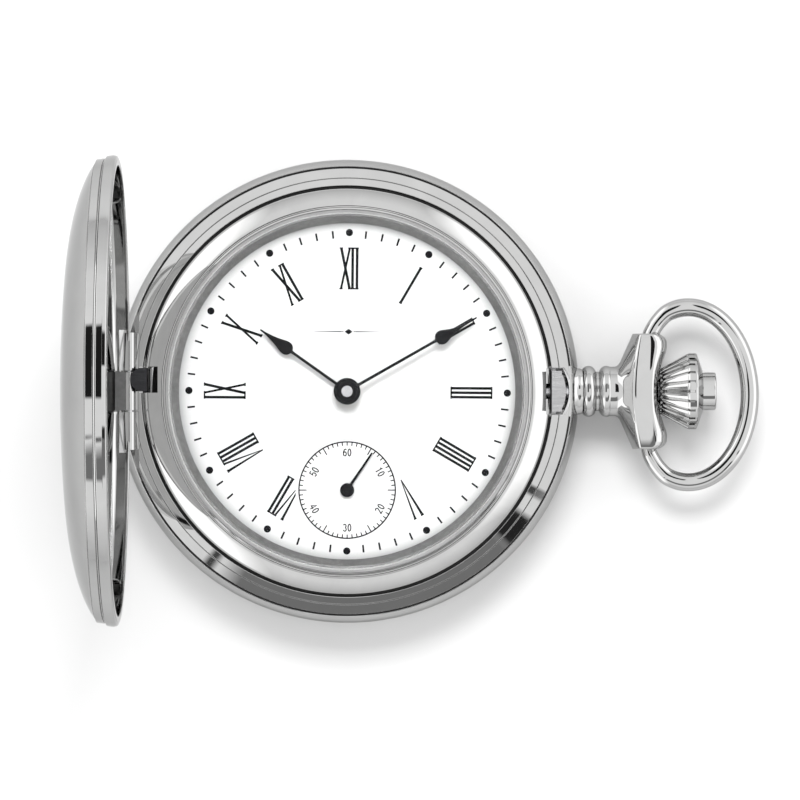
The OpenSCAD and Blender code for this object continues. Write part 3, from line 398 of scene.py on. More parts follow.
def renormal(o, revs, tol=0.035):
    """Gives each corner the true normal of the turned surface that it lies on."""
    me = o.data
    nl = len(me.loops)
    co = np.zeros(len(me.vertices) * 3)
    me.vertices.foreach_get("co", co)
    co = co.reshape(-1, 3) / MM
    vi = np.zeros(nl, int)
    me.loops.foreach_get("vertex_index", vi)
    nf = len(me.polygons)
    total, fn, fc = np.zeros(nf, int), np.zeros(nf * 3), np.zeros(nf * 3)
    me.polygons.foreach_get("loop_total", total)
    me.polygons.foreach_get("normal", fn)
    me.polygons.foreach_get("center", fc)
    fn, fc = fn.reshape(-1, 3), fc.reshape(-1, 3) / MM
    fid = np.repeat(np.arange(len(total)), total)
    out = fn[fid].copy()
    best = np.full(nl, tol)
    for rv in revs:
        v = co[vi] - rv.origin
        x, y, a = v @ rv.ax[0], v @ rv.ax[1], v @ rv.ax[2]
        r = np.hypot(x, y)
        cv = fc - rv.origin
        cx, cy = cv @ rv.ax[0], cv @ rv.ax[1]
        cr = np.hypot(cx, cy) + 1e-9
        cx, cy = cx / cr, cy / cr
        fx, fy, fa = fn @ rv.ax[0], fn @ rv.ax[1], (fn @ rv.ax[2])[fid]
        fr = (fx * cx + fy * cy)[fid]
        ft = np.abs(fy * cx - fx * cy)[fid]
        cx, cy = cx[fid], cy[fid]
        live = np.nonzero(ft < 0.3)[0]
        order = live[np.argsort(r[live], kind="stable")]
        rs = r[order]
        for i in range(len(rv.p)):
            p, q = rv.p[i], rv.p[(i + 1) % len(rv.p)]
            lo, hi = min(p[0], q[0]) - tol, max(p[0], q[0]) + tol
            k = order[np.searchsorted(rs, lo):np.searchsorted(rs, hi)]
            k = k[(a[k] > min(p[1], q[1]) - tol) & (a[k] < max(p[1], q[1]) + tol)]
            if not len(k):
                continue
            d = q - p
            L = rv.len[i]
            t = np.clip(((r[k] - p[0]) * d[0] + (a[k] - p[1]) * d[1]) / (L * L), 0, 1)
            dist = np.hypot(r[k] - p[0] - t * d[0], a[k] - p[1] - t * d[1])
            facing = fr[k] * rv.nv[i, 0] + fa[k] * rv.nv[i, 1]
            score = dist + 0.01 * (1 - facing)
            ok = (facing > 0.93) & (score < best[k])
            if not ok.any():
                continue
            k, t = k[ok], t[ok]
            n2 = rv.n0[i] + (rv.n1[i] - rv.n0[i]) * t[:, None]
            n2 /= np.linalg.norm(n2, axis=1)[:, None]
            on = r[k] > 1e-4
            ex, ey = np.where(on, x[k] / np.maximum(r[k], 1e-9), cx[k]), np.where(on, y[k] / np.maximum(r[k], 1e-9), cy[k])
            out[k] = (n2[:, :1] * ex[:, None]) * rv.ax[0] + (n2[:, :1] * ey[:, None]) * rv.ax[1] + n2[:, 1:] * rv.ax[2]
            best[k] = score[ok]
    me.polygons.foreach_set("use_smooth", [True] * len(me.polygons))
    me.normals_split_custom_set(out.tolist())
    me.update()
    return o


def box_tool(lo, hi):
    (a, b, c), (d, e, f) = lo, hi
    v = [(a, b, c), (d, b, c), (d, e, c), (a, e, c), (a, b, f), (d, b, f), (d, e, f), (a, e, f)]
    return solid("tool", v, [(0, 3, 2, 1), (4, 5, 6, 7), (0, 1, 5, 4), (1, 2, 6, 5), (2, 3, 7, 6), (3, 0, 4, 7)], smooth=False)


def cyl_tool(r, a0, a1, axis, origin, n=96):
    return Rev([(0, a0), (r, a0), (r, a1), (0, a1)], axis, origin).build("tool", None, n)


def boolean(o, tools, op="DIFFERENCE"):
    for t in tools:
        m = o.modifiers.new("cut", "BOOLEAN")
        m.operation = op
        m.object = t
        try:
            m.solver = "MANIFOLD"
        except TypeError:
            m.solver = "EXACT"
        dg = bpy.context.evaluated_depsgraph_get()
        me = bpy.data.meshes.new_from_object(o.evaluated_get(dg))
        o.modifiers.clear()
        old = o.data
        o.data = me
        bpy.data.meshes.remove(old)
    for t in tools:
        bpy.data.objects.remove(t)
    return o


def join(name, objs):
    """Several objects as one, with their own shells and normals."""
    ctx = bpy.context
    for o in ctx.scene.objects:
        o.select_set(False)
    for o in objs:
        o.select_set(True)
    ctx.view_layer.objects.active = objs[0]
    bpy.ops.object.join()
    objs[0].name = name
    objs[0].data.name = name
    objs[0].select_set(False)
    return objs[0]


def by_angle(o, deg=35):
    o.data.polygons.foreach_set("use_smooth", [True] * len(o.data.polygons))
    o.data.set_sharp_from_angle(angle=math.radians(deg))
    return o


def loft(name, rings, mat, closed_ends=True):
    """Rings of equal numbers of points, joined in order into one solid."""
    m = len(rings[0])
    verts = [p for r in rings for p in r]
    faces = []
    for i in range(len(rings) - 1):
        for j in range(m):
            k = (j + 1) % m
            faces.append((i * m + j, i * m + k, (i + 1) * m + k, (i + 1) * m + j))
    if closed_ends:
        faces.append(tuple(range(m - 1, -1, -1)))
        faces.append(tuple((len(rings) - 1) * m + j for j in range(m)))
    return solid(name, verts, faces, mat)


def piece(o, body, slot, *nodes):
    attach(o, body)
    if nodes:
        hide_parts(*nodes)
    return o


# ------------------------------------------------------------------ case
def build_case_middle():
    h = (7.75 - 2.6 - 0.1) / 2
    zc, b = (7.75 + 2.6) / 2, 24 - 23.28
    R = (h * h + b * b) / (2 * b)
    a = math.degrees(math.asin(h / R))
    prof = rounded([(21.0, 1.95, 0.05), (22.2, 1.95, 0.05), (22.25, 2.6), (23.05, 2.6, 0.04)]) + arc(24 - R, zc, R, -a, a, 36) + rounded([
        (23.30, 7.66), (23.27, 7.75, 0.04), (23.21, 7.73, 0.02), (23.21, 7.30), (23.02, 7.30), (23.01, 7.58, 0.03), (22.06, 7.94, 0.02), (22.0, 7.83), (21.94, 7.91, 0.02),
        (21.24, 8.15, 0.05), (21.18, 7.95), (21.16, 7.6), (21.0, 7.55), (21.0, 2.95), (20.0, 2.95, 0.03), (20.0, 2.62, 0.03), (21.0, 2.62)])
    rv = Rev(prof)
    o = rv.build("case_band", M_CHROME, 360)
    tools = [box_tool((-25, -2.12, 7.46), (-21.75, 2.12, 9.46))]
    for s in (-1, 1):
        c = cyl_tool(1.72, -9.2, 9.2, "Y", (HX, 0, HZ), 120)
        lo, hi = sorted((s * 2.15, s * 9.2))
        b = box_tool((-25.2, lo, 6), (-23.15, hi, 9))
        boolean(c, [b], "INTERSECT")
        tools.append(c)
    tools.append(cyl_tool(1.9, 20, 25, "X", (0, 0, Z_STEM)))
    tools.append(cyl_tool(2.7, 23.45, 25.45, "X", (0, 0, Z_STEM)))
    well = Rev([(0, 5), (4.25, 5), (4.25, 8.2), (0, 8.2)], "Z", (18.7, 0, 0)).build("tool", None, 160)
    boolean(well, [box_tool((20.5, -2.38, 4.5), (23.2, 2.38, 8.35))], "INTERSECT")
    tools.append(well)
    lens = Rev([(0, 7.2), (4.45, 7.2), (4.45, 8.2), (0, 8.2)], "Z", (18.7, 0, 0)).build("tool", None, 160)
    boolean(lens, [box_tool((20.5, -2.45, 7.35), (23.2, 2.45, 8.35))], "INTERSECT")
    tools.append(lens)
    tools.append(box_tool((-21.45, -0.15, 4), (-20.45, 2.55, 9)))
    boolean(o, tools)
    relief = Rev([(1.72, -9.2), (1.72, 9.2), (1.8, 9.2), (1.8, -9.2)], "Y", (HX, 0, HZ))
    relief.nv, relief.n0, relief.n1 = -np.abs(relief.nv), -np.abs(relief.n0), -np.abs(relief.n1)
    renormal(o, [rv, relief])
    parts = [o]
    for s in (-1, 1):
        k = Rev(rounded([(0.3, s * 4.08 - 1.98), (0.62, s * 4.08 - 1.98, 0.05), (0.62, s * 4.08 + 1.98, 0.05), (0.3, s * 4.08 + 1.98)]), "Y", (HX, 0, HZ))
        parts.append(renormal(k.build("knuckle", M_CHROME, 64), [k]))
        t = box_tool((HX - 0.5, s * 4.08 - 1.98, 7.3), (HX + 0.5, s * 4.08 + 1.98, 8.0))
        t.data.materials.append(M_SATIN)
        parts.append(t)
    return join("case_band", parts)


def build_case_back():
    outer = [(15 + 7.5 * i / 24, 1.3 * (i / 24) ** 2.2) for i in range(25)]
    prof = [(0, 0)] + outer + rounded([(22.5, 1.3), (22.62, 1.3, 0.03), (22.72, 1.42, 0.04), (23.0, 1.55, 0.05), (23.14, 1.58, 0.04), (23.2, 1.66)])[1:] \
        + arc(23.0, 2.05, 0.4, -40, 60, 10) + [(23.1, 2.58), (22.28, 2.58), (22.28, 1.9)] \
        + [(15 + 6.9 * i / 24, WALL + 1.0 * (i / 24) ** 2.2) for i in range(24, -1, -1)] + [(0, WALL)]
    rv = Rev(prof)
    o = rv.build("case_back_cover", M_CHROME, 360)
    boolean(o, [box_tool((-1.7, -24.15, 1.9), (1.7, -23.05, 2.7))])
    return renormal(o, [rv])


def lid_out(t):
    return 1.9 * t * t + (LID_DEPTH - 3.2) * (1 - math.sqrt(1 - max(0, (t - 0.6) / 0.4) ** 2))


def lid_in(t):
    return 1.7 * t * t + (LID_DEPTH - 3.75) * (1 - math.sqrt(1 - max(0, (t - 0.6) / 0.4) ** 2))


def build_lid():
    top = []
    for i in range(71):
        t = math.sin(PI / 2 * i / 70)
        top.append(((LID_R - 0.18) * t, Z_LID + LID_DEPTH - lid_out(t)))
    # fine lines turned into the side below the dome
    z0 = Z_LID
    side = rounded([
        (22.64, z0 + 2.3), (22.66, z0 + 2.24, 0.03), (22.62, z0 + 2.18, 0.03), (22.97, z0 + 2.12, 0.05), (23.06, z0 + 1.42, 0.05), (22.98, z0 + 1.3, 0.04)], 5)
    top = [q for q in top if q[1] > z0 + 2.32]
    bead = rounded([(23.04, z0 + 1.22), (23.3, z0 + 1.12, 0.08), (23.385, z0 + 0.5, 0.1), (23.3, z0 + 0.14, 0.12), (23.08, z0 + 0.04)], 6)
    prof = top + side[1:] + bead + rounded([(LID_R - 0.42, z0, 0.02), (LID_R - 1.05, z0, 0.1), (LID_R - 1.05, z0 + 0.2, 0.05), (LID_R - WALL, z0 + 0.35, 0.1), (LID_R - WALL, z0 + 0.6)], 4)
    inner = []
    for i in range(70, -1, -1):
        t = math.sin(PI / 2 * i / 70)
        inner.append(((LID_R - WALL) * t, Z_LID + LID_DEPTH - WALL - lid_in(t)))
    prof = prof[:-1] + inner
    rv = Rev(prof)
    o = rv.build("front_cover", M_CHROME, 400)
    boolean(o, [box_tool((-25, -8.85, Z_LID - 1), (-21.75, 8.85, Z_LID + 1.1))])
    renormal(o, [rv])
    k = Rev(rounded([(0.34, -1.98), (0.62, -1.98, 0.05), (0.62, 1.98, 0.05), (0.34, 1.98)]), "Y", (HX, 0, HZ))
    kn = renormal(k.build("knuckle", M_CHROME, 64), [k])
    leaf = box_tool((HX - 0.5, -1.98, Z_LID), (HX + 0.5, 1.98, Z_LID + 1.5))
    leaf.data.materials.append(M_SATIN)
    o = join("front_cover", [o, kn, leaf])
    m = Matrix.Translation((HX * MM, 0, HZ * MM)) @ Matrix.Rotation(-PI / 2, 4, "Y") @ Matrix.Translation((-HX * MM, 0, -HZ * MM))
    o.data.transform(m)
    return o


def build_bezel():
    top = 6.95 + 0.4
    prof = rounded([(17.4, top + 0.08, 0.03), (20.35, top + 0.08), (20.35, 7.5), (20.94, 7.5, 0.03), (20.96, 8.0)]) + arc(17.33, 4.643, 4.99, 43.6, 68, 34) \
        + rounded([(19.18, 9.28), (19.14, 9.28, 0.03), (19.08, 9.1, 0.03), (18.98, 9.1, 0.03), (18.92, 9.36, 0.05), (18.72, 9.44, 0.04), (18.7, 8.6), (18.1, 8.6, 0.05)])
    rv = Rev(prof)
    o = rv.build("bezel_ring", M_CHROME, 360)
    boolean(o, [box_tool((20.52, -2.38, 7.3), (21.35, 2.38, 10.3)), box_tool((-21.2, -0.15, 7.3), (-19.5, 2.55, 10.3))])
    return renormal(o, [rv])


def build_crystal():
    dome = 1.3
    R = (18.4 * 18.4 + dome * dome) / (2 * dome)
    a = math.degrees(math.asin(18.4 / R))
    outer = arc(0, 9.45 + dome - R, R, 90, 90 - a, 48)
    prof = [(0, 9.45 + dome)] + outer[1:-1] + rounded([(outer[-2][0], outer[-2][1]), (18.4, 9.45, 0.08), (18.4, 8.62, 0.05), (17.95, 8.62)])[1:] \
        + [(17.9 * (48 - i) / 48, 8.62 + (dome - 0.05) * (1 - ((48 - i) / 48) ** 2)) for i in range(49)]
    rv = Rev(prof)
    return renormal(rv.build("crystal_dome", M_CRYSTAL, 240), [rv])


# ------------------------------------------------------------------ pendant, bow and crown
def neck_profile():
    pts = [(0, 22.95), (1.88, 22.95), (1.88, 23.48), (2.6, 23.48)]
    pts += [(2.6 - 0.22 * math.sin(PI / 2 * i / 6), 23.5 + 0.6 * i / 6) for i in range(7)]
    pts += [(2.34, 24.22)]
    pts += [(1.72 + 0.93 * math.cos(q), 25.0 + 0.82 * math.sin(q)) for q in [math.radians(-52 + 124 * i / 22) for i in range(23)]]
    pts += [(2.05, 25.86), (2.05, 25.98)]
    pts += [(1.72 + 0.93 * math.cos(q), 26.85 + 0.82 * math.sin(q)) for q in [math.radians(-72 + 122 * i / 22) for i in range(23)]]
    pts += [(2.5, 27.6), (2.56, 27.75), (2.59, 28), (2.59, 29), (0, 29)]
    return pts


def head_half(x):
    """Half height of the turned flare at x."""
    if x <= 27.6:
        return 2.56
    if x < 28.35:
        t = (x - 27.6) / 0.75
        return 2.56 + 0.75 * 2.25 * t ** 2.6 / 2.6
    if x < 29.72:
        return 3.209 + 2.25 * (x - 28.35)
    return 6.4


def head_right(y):
    ys = [0, 1.0, 2.0, 3.3, 4.0, 4.6, 5.2, 5.6, 5.85, 5.96]
    xs = [32.2, 32.23, 32.36, 32.76, 33.02, 33.14, 33.1, 32.88, 32.55, 32.2]
    return float(np.interp(abs(y), ys, xs))


def build_pendant():
    rv = Rev(neck_profile(), "X", (0, 0, Z_STEM))
    neck = renormal(rv.build("neck", M_CHROME, 160), [rv])
    nu, nvv = 150, 121
    grid = []
    for i in range(nu + 1):
        s = i / nu
        u = s * 1.25 if s < 0.72 else 1 - (1 - 0.9) * ((1 - s) / 0.28) ** 1.8
        u = min(u, 1.0)
        x0 = 27.2 + 5.94 * u
        ym = min(head_half(x0), 5.96)
        row = []
        for j in range(nvv):
            v = math.sin(PI / 2 * (2 * j / (nvv - 1) - 1))
            y = v * ym
            w = max(0.0, min(1.0, (u - 0.5) / 0.5))
            w = w * w * (3 - 2 * w)
            x = x0 + (head_right(y) - 33.14) * w
            yl = head_half(x0) + max(0.0, x0 - 29.72) * 2.25
            zt = 2.56 + 0.89 * max(0.0, (x0 - 27.6) / 1.85) ** 2
            flare = zt * math.sqrt(max(0.0, 1 - (y / yl) ** 2))
            face = math.sqrt(22.0 ** 2 - y * y) - 18.55
            k = 0.45
            hh = max(k - abs(flare - face), 0) / k
            z = min(flare, face) - hh * hh * k / 4
            z = max(z, 0)
            # soft corner along the flat ends
            d = 5.96 - abs(y)
            rf = 0.22
            if head_half(x0) > 5.96 and d < rf:
                z = max(0.2, z - (rf - math.sqrt(max(0, rf * rf - (rf - d) ** 2))))
            # rolled right-hand end
            xr = head_right(y)
            q = max(0.0, min(1.0, (x - 31.15) / max(xr - 31.15, 0.1)))
            z *= max(0.0, 1 - q ** 2.7) ** (1 / 2.7)
            if z < 1e-5:
                z = 0.0
            row.append((x, y, z))
        grid.append(row)
    verts, faces = [], []
    n = nvv
    for side in (1, -1):
        for row in grid:
            verts += [(x, y, Z_STEM + side * z) for x, y, z in row]
    base = (nu + 1) * n
    for i in range(nu):
        for j in range(n - 1):
            a, b, c, d = i * n + j, i * n + j + 1, (i + 1) * n + j + 1, (i + 1) * n + j
            faces.append((a, b, c, d))
            faces.append((base + d, base + c, base + b, base + a))
    for i in range(nu):
        for j in (0, n - 1):
            a, d = i * n + j, (i + 1) * n + j
            faces.append((a, d, base + d, base + a) if j == 0 else (d, a, base + a, base + d))
    a = [j for j in range(n)]
    faces.append(tuple(a + [base + j for j in range(n - 1, -1, -1)]))
    head = solid("head", verts, faces, M_CHROME)
    seat = Rev([(0, 31.2), (2.7, 31.2), (2.85, 32.3), (4.9, 34.0), (0, 34.0)], "X", (0, 0, Z_STEM)).build("tool", None, 128)
    tools = [seat]
    for s in (-1, 1):
        lo, hi = sorted((s * 4.1, s * 6.4))
        tools.append(cyl_tool(0.78, lo, hi, "Y", (31.2, 0, Z_STEM), 48))
    boolean(head, tools)
    by_angle(head, 32)
    return join("pendant_head", [neck, head])


def bow_points():
    keys = [(31.2, 4.4, 0.7), (31.2, 5.1, 0.7), (31.24, 5.7, 0.76), (31.4, 6.2, 0.81), (31.68, 6.75, 0.83), (32.05, 7.33, 0.84), (32.5, 7.88, 0.86),
            (33.05, 8.4, 0.89), (33.75, 8.76, 0.92), (34.52, 8.99, 0.94)]
    ell = [(35.35 + 6.38 * math.cos(q), 9.07 * math.sin(q), 0.94) for q in [PI / 2 - PI * i / 180 for i in range(181)]]
    k = [np.array(q) for q in keys + ell[:2]]
    top = []
    for i in range(len(keys)):
        p0, p1, p2, p3 = k[max(i - 1, 0)], k[i], k[i + 1], k[min(i + 2, len(k) - 1)]
        d1, d2, d0 = np.linalg.norm(p2 - p1), np.linalg.norm(p3 - p2) + 1e-9, np.linalg.norm(p1 - p0) + 1e-9
        m1 = (p2 - p1) if i == 0 else d1 * ((p1 - p0) / d0 * d1 + (p2 - p1) / d1 * d0) / (d0 + d1)
        m2 = d1 * ((p2 - p1) / d1 * d2 + (p3 - p2) / d2 * d1) / (d1 + d2)
        for j in range(6):
            t = j / 6
            top.append((2 * t ** 3 - 3 * t * t + 1) * p1 + (t ** 3 - 2 * t * t + t) * m1 + (3 * t * t - 2 * t ** 3) * p2 + (t ** 3 - t * t) * m2)
    mid = [np.array(q) for q in ell]
    return top + mid + [np.array([q[0], -q[1], q[2]]) for q in top[::-1]]


def build_bow():
    p = bow_points()
    n = len(p)
    rings = []
    m = 48
    for i in range(n):
        d = (p[min(i + 1, n - 1)] - p[max(i - 1, 0)])[:2]
        d = d / np.linalg.norm(d)
        r = float(p[i][2])
        rings.append([(p[i][0] - d[1] * r * math.cos(2 * PI * j / m), p[i][1] + d[0] * r * math.cos(2 * PI * j / m), Z_STEM + r * math.sin(2 * PI * j / m)) for j in range(m)])
    # the wire has slid a little way along its two holes
    return loft("bow_ring", [[(x, y - 0.36, z) for x, y, z in ring] for ring in rings], M_CHROME)


def build_crown():
    prof = rounded([(0.8, 32.0), (1.6, 32.0, 0.08), (2.3, 32.42, 0.1), (3.82, 35.16, 0.1), (3.94, 35.4, 0.1), (3.94, 36.1, 0.06), (3.86, 36.22, 0.06), (2.12, 36.84, 0.04), (2.1, 34.65), (0.8, 34.65)], 4)
    fine = []
    for i in range(len(prof)):
        a, b = np.array(prof[i]), np.array(prof[(i + 1) % len(prof)])
        L = float(np.linalg.norm(b - a))
        k = max(1, int(math.ceil(L / 0.07))) if a[1] > 32.3 and b[1] < 36.3 and a[0] > 2.15 and b[0] > 2.15 else 1
        fine += [tuple(a + (b - a) * j / k) for j in range(k)]
    flutes = 24
    cuts = [0.0, 0.05, 0.09, 0.12, 0.138, 0.165]
    rings = []
    for r, x in fine:
        ring = []
        pitch = 2 * PI * max(r, 0.5) / flutes
        for f in range(flutes):
            centre = 2 * PI * f / flutes
            scale = min(1.0, pitch / 2 * 0.8 / 0.165)
            ds = [c * scale for c in cuts]
            steps = [-d for d in ds[:0:-1]] + ds + [ds[-1] + (pitch - 2 * ds[-1]) * q for q in (0.2, 0.5, 0.8)]
            for d in steps:
                depth = 0.0
                if 32.36 < x < 36.3 and r > 2.15:
                    dd = abs(d)
                    if dd < 0.14:
                        groove = min(0.32, math.sqrt(0.14 ** 2 - dd * dd) * 2.3)
                        fade = max(0.0, min(1.0, (35.32 - x) / 0.12)) * max(0.0, min(1.0, (x - 32.36) / 0.2))
                        depth = groove * fade
                        if 35.32 < x < 35.94 and dd < 0.125:
                            depth = 0.3
                    elif dd > 0.165 and d > 0 and x < 35.2:
                        # gently rounded lands
                        q = (d - ds[-1]) / max(pitch - 2 * ds[-1], 1e-6)
                        depth = -0.035 * math.sin(PI * max(0, min(1, q)))
                t = centre + d / max(r, 0.5)
                rr = r - depth
                ring.append((x, rr * math.cos(t), Z_STEM + rr * math.sin(t)))
        rings.append(ring)
    m = len(rings[0])
    verts = [q for rg in rings for q in rg]
    faces = []
    for i in range(len(rings)):
        k = (i + 1) % len(rings)
        for j in range(m):
            l = (j + 1) % m
            faces.append((i * m + j, i * m + l, k * m + l, k * m + j))
    o = solid("winding_crown", verts, faces, M_CHROME)
    return by_angle(o, 38)


def build_pusher():
    rv = Rev(rounded([(0, 23.6), (0.36, 23.6), (0.36, 35.9), (1.95, 35.9, 0.05), (1.95, 38.2, 0.22), (1.5, 38.2), (0, 38.2)]), "X", (0, 0, Z_STEM))
    return renormal(rv.build("push_button", M_CHROME, 128), [rv])


# ------------------------------------------------------------------ hands
def hand_rings(stations, z0, z1, angle, centre=(0, 0)):
    """Cross-sections with a flat underside and a domed top at distances s with half widths w."""
    ca, sa = math.cos(angle), math.sin(angle)
    rings = []
    h = z1 - z0
    for s, w in stations:
        ring = []
        e = min(0.07, w * 0.5)
        prof = [(-w, 0), (-w, h * 0.4)]
        for i in range(1, 12):
            q = -1 + 2 * i / 12
            prof.append((w * math.sin(q * PI / 2), h * 0.4 + h * 0.6 * math.cos(q * PI / 2) ** 0.6))
        prof += [(w, h * 0.4), (w, 0)]
        for a, z in prof:
            ring.append((centre[0] + s * ca - a * sa, centre[1] + s * sa + a * ca, z0 + z))
        rings.append(ring)
    return rings


def interp_stations(keys, n=90):
    s = np.array([k[0] for k in keys])
    w = np.array([k[1] for k in keys])
    xs = np.unique(np.concatenate([np.linspace(s[0], s[-1], n), s]))
    # monotone cubic through the keys
    h = np.diff(s)
    d = np.diff(w) / h
    m = np.zeros(len(s))
    m[0], m[-1] = d[0], d[-1]
    for i in range(1, len(s) - 1):
        if d[i - 1] * d[i] > 0:
            w1, w2 = 2 * h[i] + h[i - 1], h[i] + 2 * h[i - 1]
            m[i] = (w1 + w2) / (w1 / d[i - 1] + w2 / d[i])
    out = []
    for x in xs:
        i = min(max(int(np.searchsorted(s, x) - 1), 0), len(h) - 1)
        t = (x - s[i]) / h[i]
        y = (2 * t ** 3 - 3 * t * t + 1) * w[i] + (t ** 3 - 2 * t * t + t) * h[i] * m[i] + (3 * t * t - 2 * t ** 3) * w[i + 1] + (t ** 3 - t * t) * h[i] * m[i + 1]
        out.append((float(x), max(float(y), 0.02)))
    return out


def round_start(s0, s1, w1, n=10):
    """Half widths of a round end that grows from nothing at s0 to w1 at s1."""
    return [(s0 + (s1 - s0) * (1 - math.cos(PI / 2 * i / n)), w1 * math.sin(PI / 2 * i / n)) for i in range(n + 1)]


def hub(name, r, bore, z0, z1, centre=(0, 0)):
    t = z1
    prof = rounded([(bore, z0), (r, z0, 0.02), (r, t - 0.02, 0.06), (r * 0.86, t, 0.03), (r * 0.82, t - 0.05, 0.02), (r * 0.76, t - 0.05, 0.02), (r * 0.72, t, 0.03), (r * 0.6, t, 0.03), (r * 0.56, t - 0.04, 0.02), (bore, t - 0.04)], 4)
    rv = Rev(prof, "Z", (centre[0], centre[1], 0))
    return renormal(rv.build(name, M_HAND, 96), [rv])


def build_hour_hand():
    ang = math.radians(90 + 54.6)
    pear = [(1.0, 0.16), (6.7, 0.15), (6.98, 0.17)]
    rs = [(s, max(w, 0.17)) for s, w in round_start(7.0, 7.68, 0.70)][1:]
    body = [(7.9, 0.69), (8.2, 0.62), (8.6, 0.49), (9.1, 0.345), (9.6, 0.235), (10.1, 0.155), (10.5, 0.105), (10.8, 0.095), (10.92, 0.08), (10.99, 0.03)]
    o = loft("hour_hand_blade", hand_rings(interp_stations(pear + rs + body, 110), 7.95, 8.14, ang), M_HAND)
    by_angle(o, 40)
    return join("hour_hand_pear", [o, hub("hub", 1.38, 0.95, 7.9, 8.22)])


def build_minute_hand():
    ang = math.radians(90 - 60.4)
    pear = [(1.0, 0.16), (10.2, 0.15), (10.5, 0.17)]
    rs = [(s, max(w, 0.17)) for s, w in round_start(10.52, 11.22, 0.74)][1:]
    body = [(11.45, 0.72), (11.75, 0.62), (12.1, 0.46), (12.45, 0.33), (12.8, 0.25), (13.3, 0.19), (14.2, 0.135), (15.1, 0.09), (15.33, 0.08), (15.39, 0.03)]
    o = loft("minute_hand_blade", hand_rings(interp_stations(pear + rs + body, 130), 8.5, 8.69, ang), M_HAND)
    by_angle(o, 40)
    return join("minute_hand_pear", [o, hub("hub", 1.38, 0.585, 8.45, 8.78)])


def build_seconds_hand():
    ang = math.radians(90 - 33.9)
    st = [(0.3, 0.155), (2.5, 0.13), (4.4, 0.1), (4.6, 0.085), (4.65, 0.03)]
    o = loft("seconds_blade", hand_rings(interp_stations(st, 30), 7.5, 7.64, ang, P_SEC), M_HAND)
    by_angle(o, 40)
    rv = Rev(rounded([(0.15, 7.42), (0.73, 7.42, 0.02), (0.73, 7.66, 0.07), (0.45, 7.7, 0.05), (0.4, 7.67, 0.02), (0, 7.68), (0, 7.5), (0.15, 7.5)], 4), "Z", (P_SEC[0], P_SEC[1], 0))
    return join("seconds_hand_stick", [o, renormal(rv.build("hub", M_HAND, 72), [rv])])


# ------------------------------------------------------------------ dial print
class Print:
    """Ink as thin solids: strips between a left and a right line, on the dial's face."""

    def __init__(self, z0, z1):
        self.v, self.f, self.z0, self.z1 = [], [], z0, z1
        self.lift = 0

    def strip(self, left, right, closed=False):
        n = len(left)
        base = len(self.v)
        z1 = self.z1 + 0.0006 * (self.lift % 5)
        self.lift += 1
        for l, r in zip(left, right):
            self.v += [(l[0], l[1], z1), (r[0], r[1], z1), (r[0], r[1], self.z0), (l[0], l[1], self.z0)]
        for i in range(n if closed else n - 1):
            a, b = base + 4 * i, base + 4 * ((i + 1) % n)
            for k in range(4):
                l = (k + 1) % 4
                self.f.append((a + k, a + l, b + l, b + k))
        if not closed:
            self.f.append((base, base + 3, base + 2, base + 1))
            e = base + 4 * (n - 1)
            self.f.append((e, e + 1, e + 2, e + 3))

    def line(self, p, q, w, w2=None):
        p, q = np.array(p, float), np.array(q, float)
        d = (q - p) / np.linalg.norm(q - p)
        nrm = np.array([-d[1], d[0]])
        w2 = w if w2 is None else w2
        self.strip([p + nrm * w / 2, q + nrm * w2 / 2], [p - nrm * w / 2, q - nrm * w2 / 2])

    def poly(self, pts, w, closed=False):
        pts = [np.array(p, float) for p in pts]
        n = len(pts)
        left, right = [], []
        for i in range(n):
            a = pts[i - 1] if (i > 0 or closed) else pts[i]
            b = pts[(i + 1) % n] if (i < n - 1 or closed) else pts[i]
            d1 = pts[i] - a
            d2 = b - pts[i]
            d1 = d1 / np.linalg.norm(d1) if np.linalg.norm(d1) > 1e-9 else None
            d2 = d2 / np.linalg.norm(d2) if np.linalg.norm(d2) > 1e-9 else None
            d1 = d2 if d1 is None else d1
            d2 = d1 if d2 is None else d2
            t = d1 + d2
            t = t / np.linalg.norm(t)
            c = max(0.45, float(t @ d1))
            nrm = np.array([-t[1], t[0]]) * (w / 2 / c)
            left.append(pts[i] + nrm)
            right.append(pts[i] - nrm)
        self.strip(left, right, closed)

    def disc(self, c, r, n=40):
        top = [(c[0] + r * math.cos(2 * PI * i / n), c[1] + r * math.sin(2 * PI * i / n)) for i in range(n)]
        base = len(self.v)
        self.v += [(x, y, self.z1) for x, y in top] + [(x, y, self.z0) for x, y in top]
        self.f.append(tuple(base + i for i in range(n)))
        self.f.append(tuple(base + n + i for i in range(n - 1, -1, -1)))
        for i in range(n):
            k = (i + 1) % n
            self.f.append((base + i, base + n + i, base + n + k, base + k))

    def build(self, name):
        o = solid(name, self.v, self.f, M_INK, smooth=False)
        return o


def at_hour(clock_deg):
    """Local (across, outward) of a numeral whose top faces outward, to dial coordinates."""
    t = math.radians(clock_deg)
    out = np.array([math.sin(t), math.cos(t)])
    across = np.array([math.cos(t), -math.sin(t)])
    return lambda u, v: across * u + out * v


def clip_out(p, q, w0, w1, centre, rad):
    """Edges of a stroke from p to q, cut where they enter a circle."""
    p, q = np.array(p, float), np.array(q, float)
    d = (q - p) / np.linalg.norm(q - p)
    nrm = np.array([-d[1], d[0]])
    edges = []
    for s in (1, -1):
        a, b = p + nrm * s * w0 / 2, q + nrm * s * w1 / 2
        e = b
        for i in range(1, 201):
            c = a + (b - a) * i / 200
            if np.linalg.norm(c - centre) < rad:
                e = c
                break
        edges.append((a, e))
    return edges


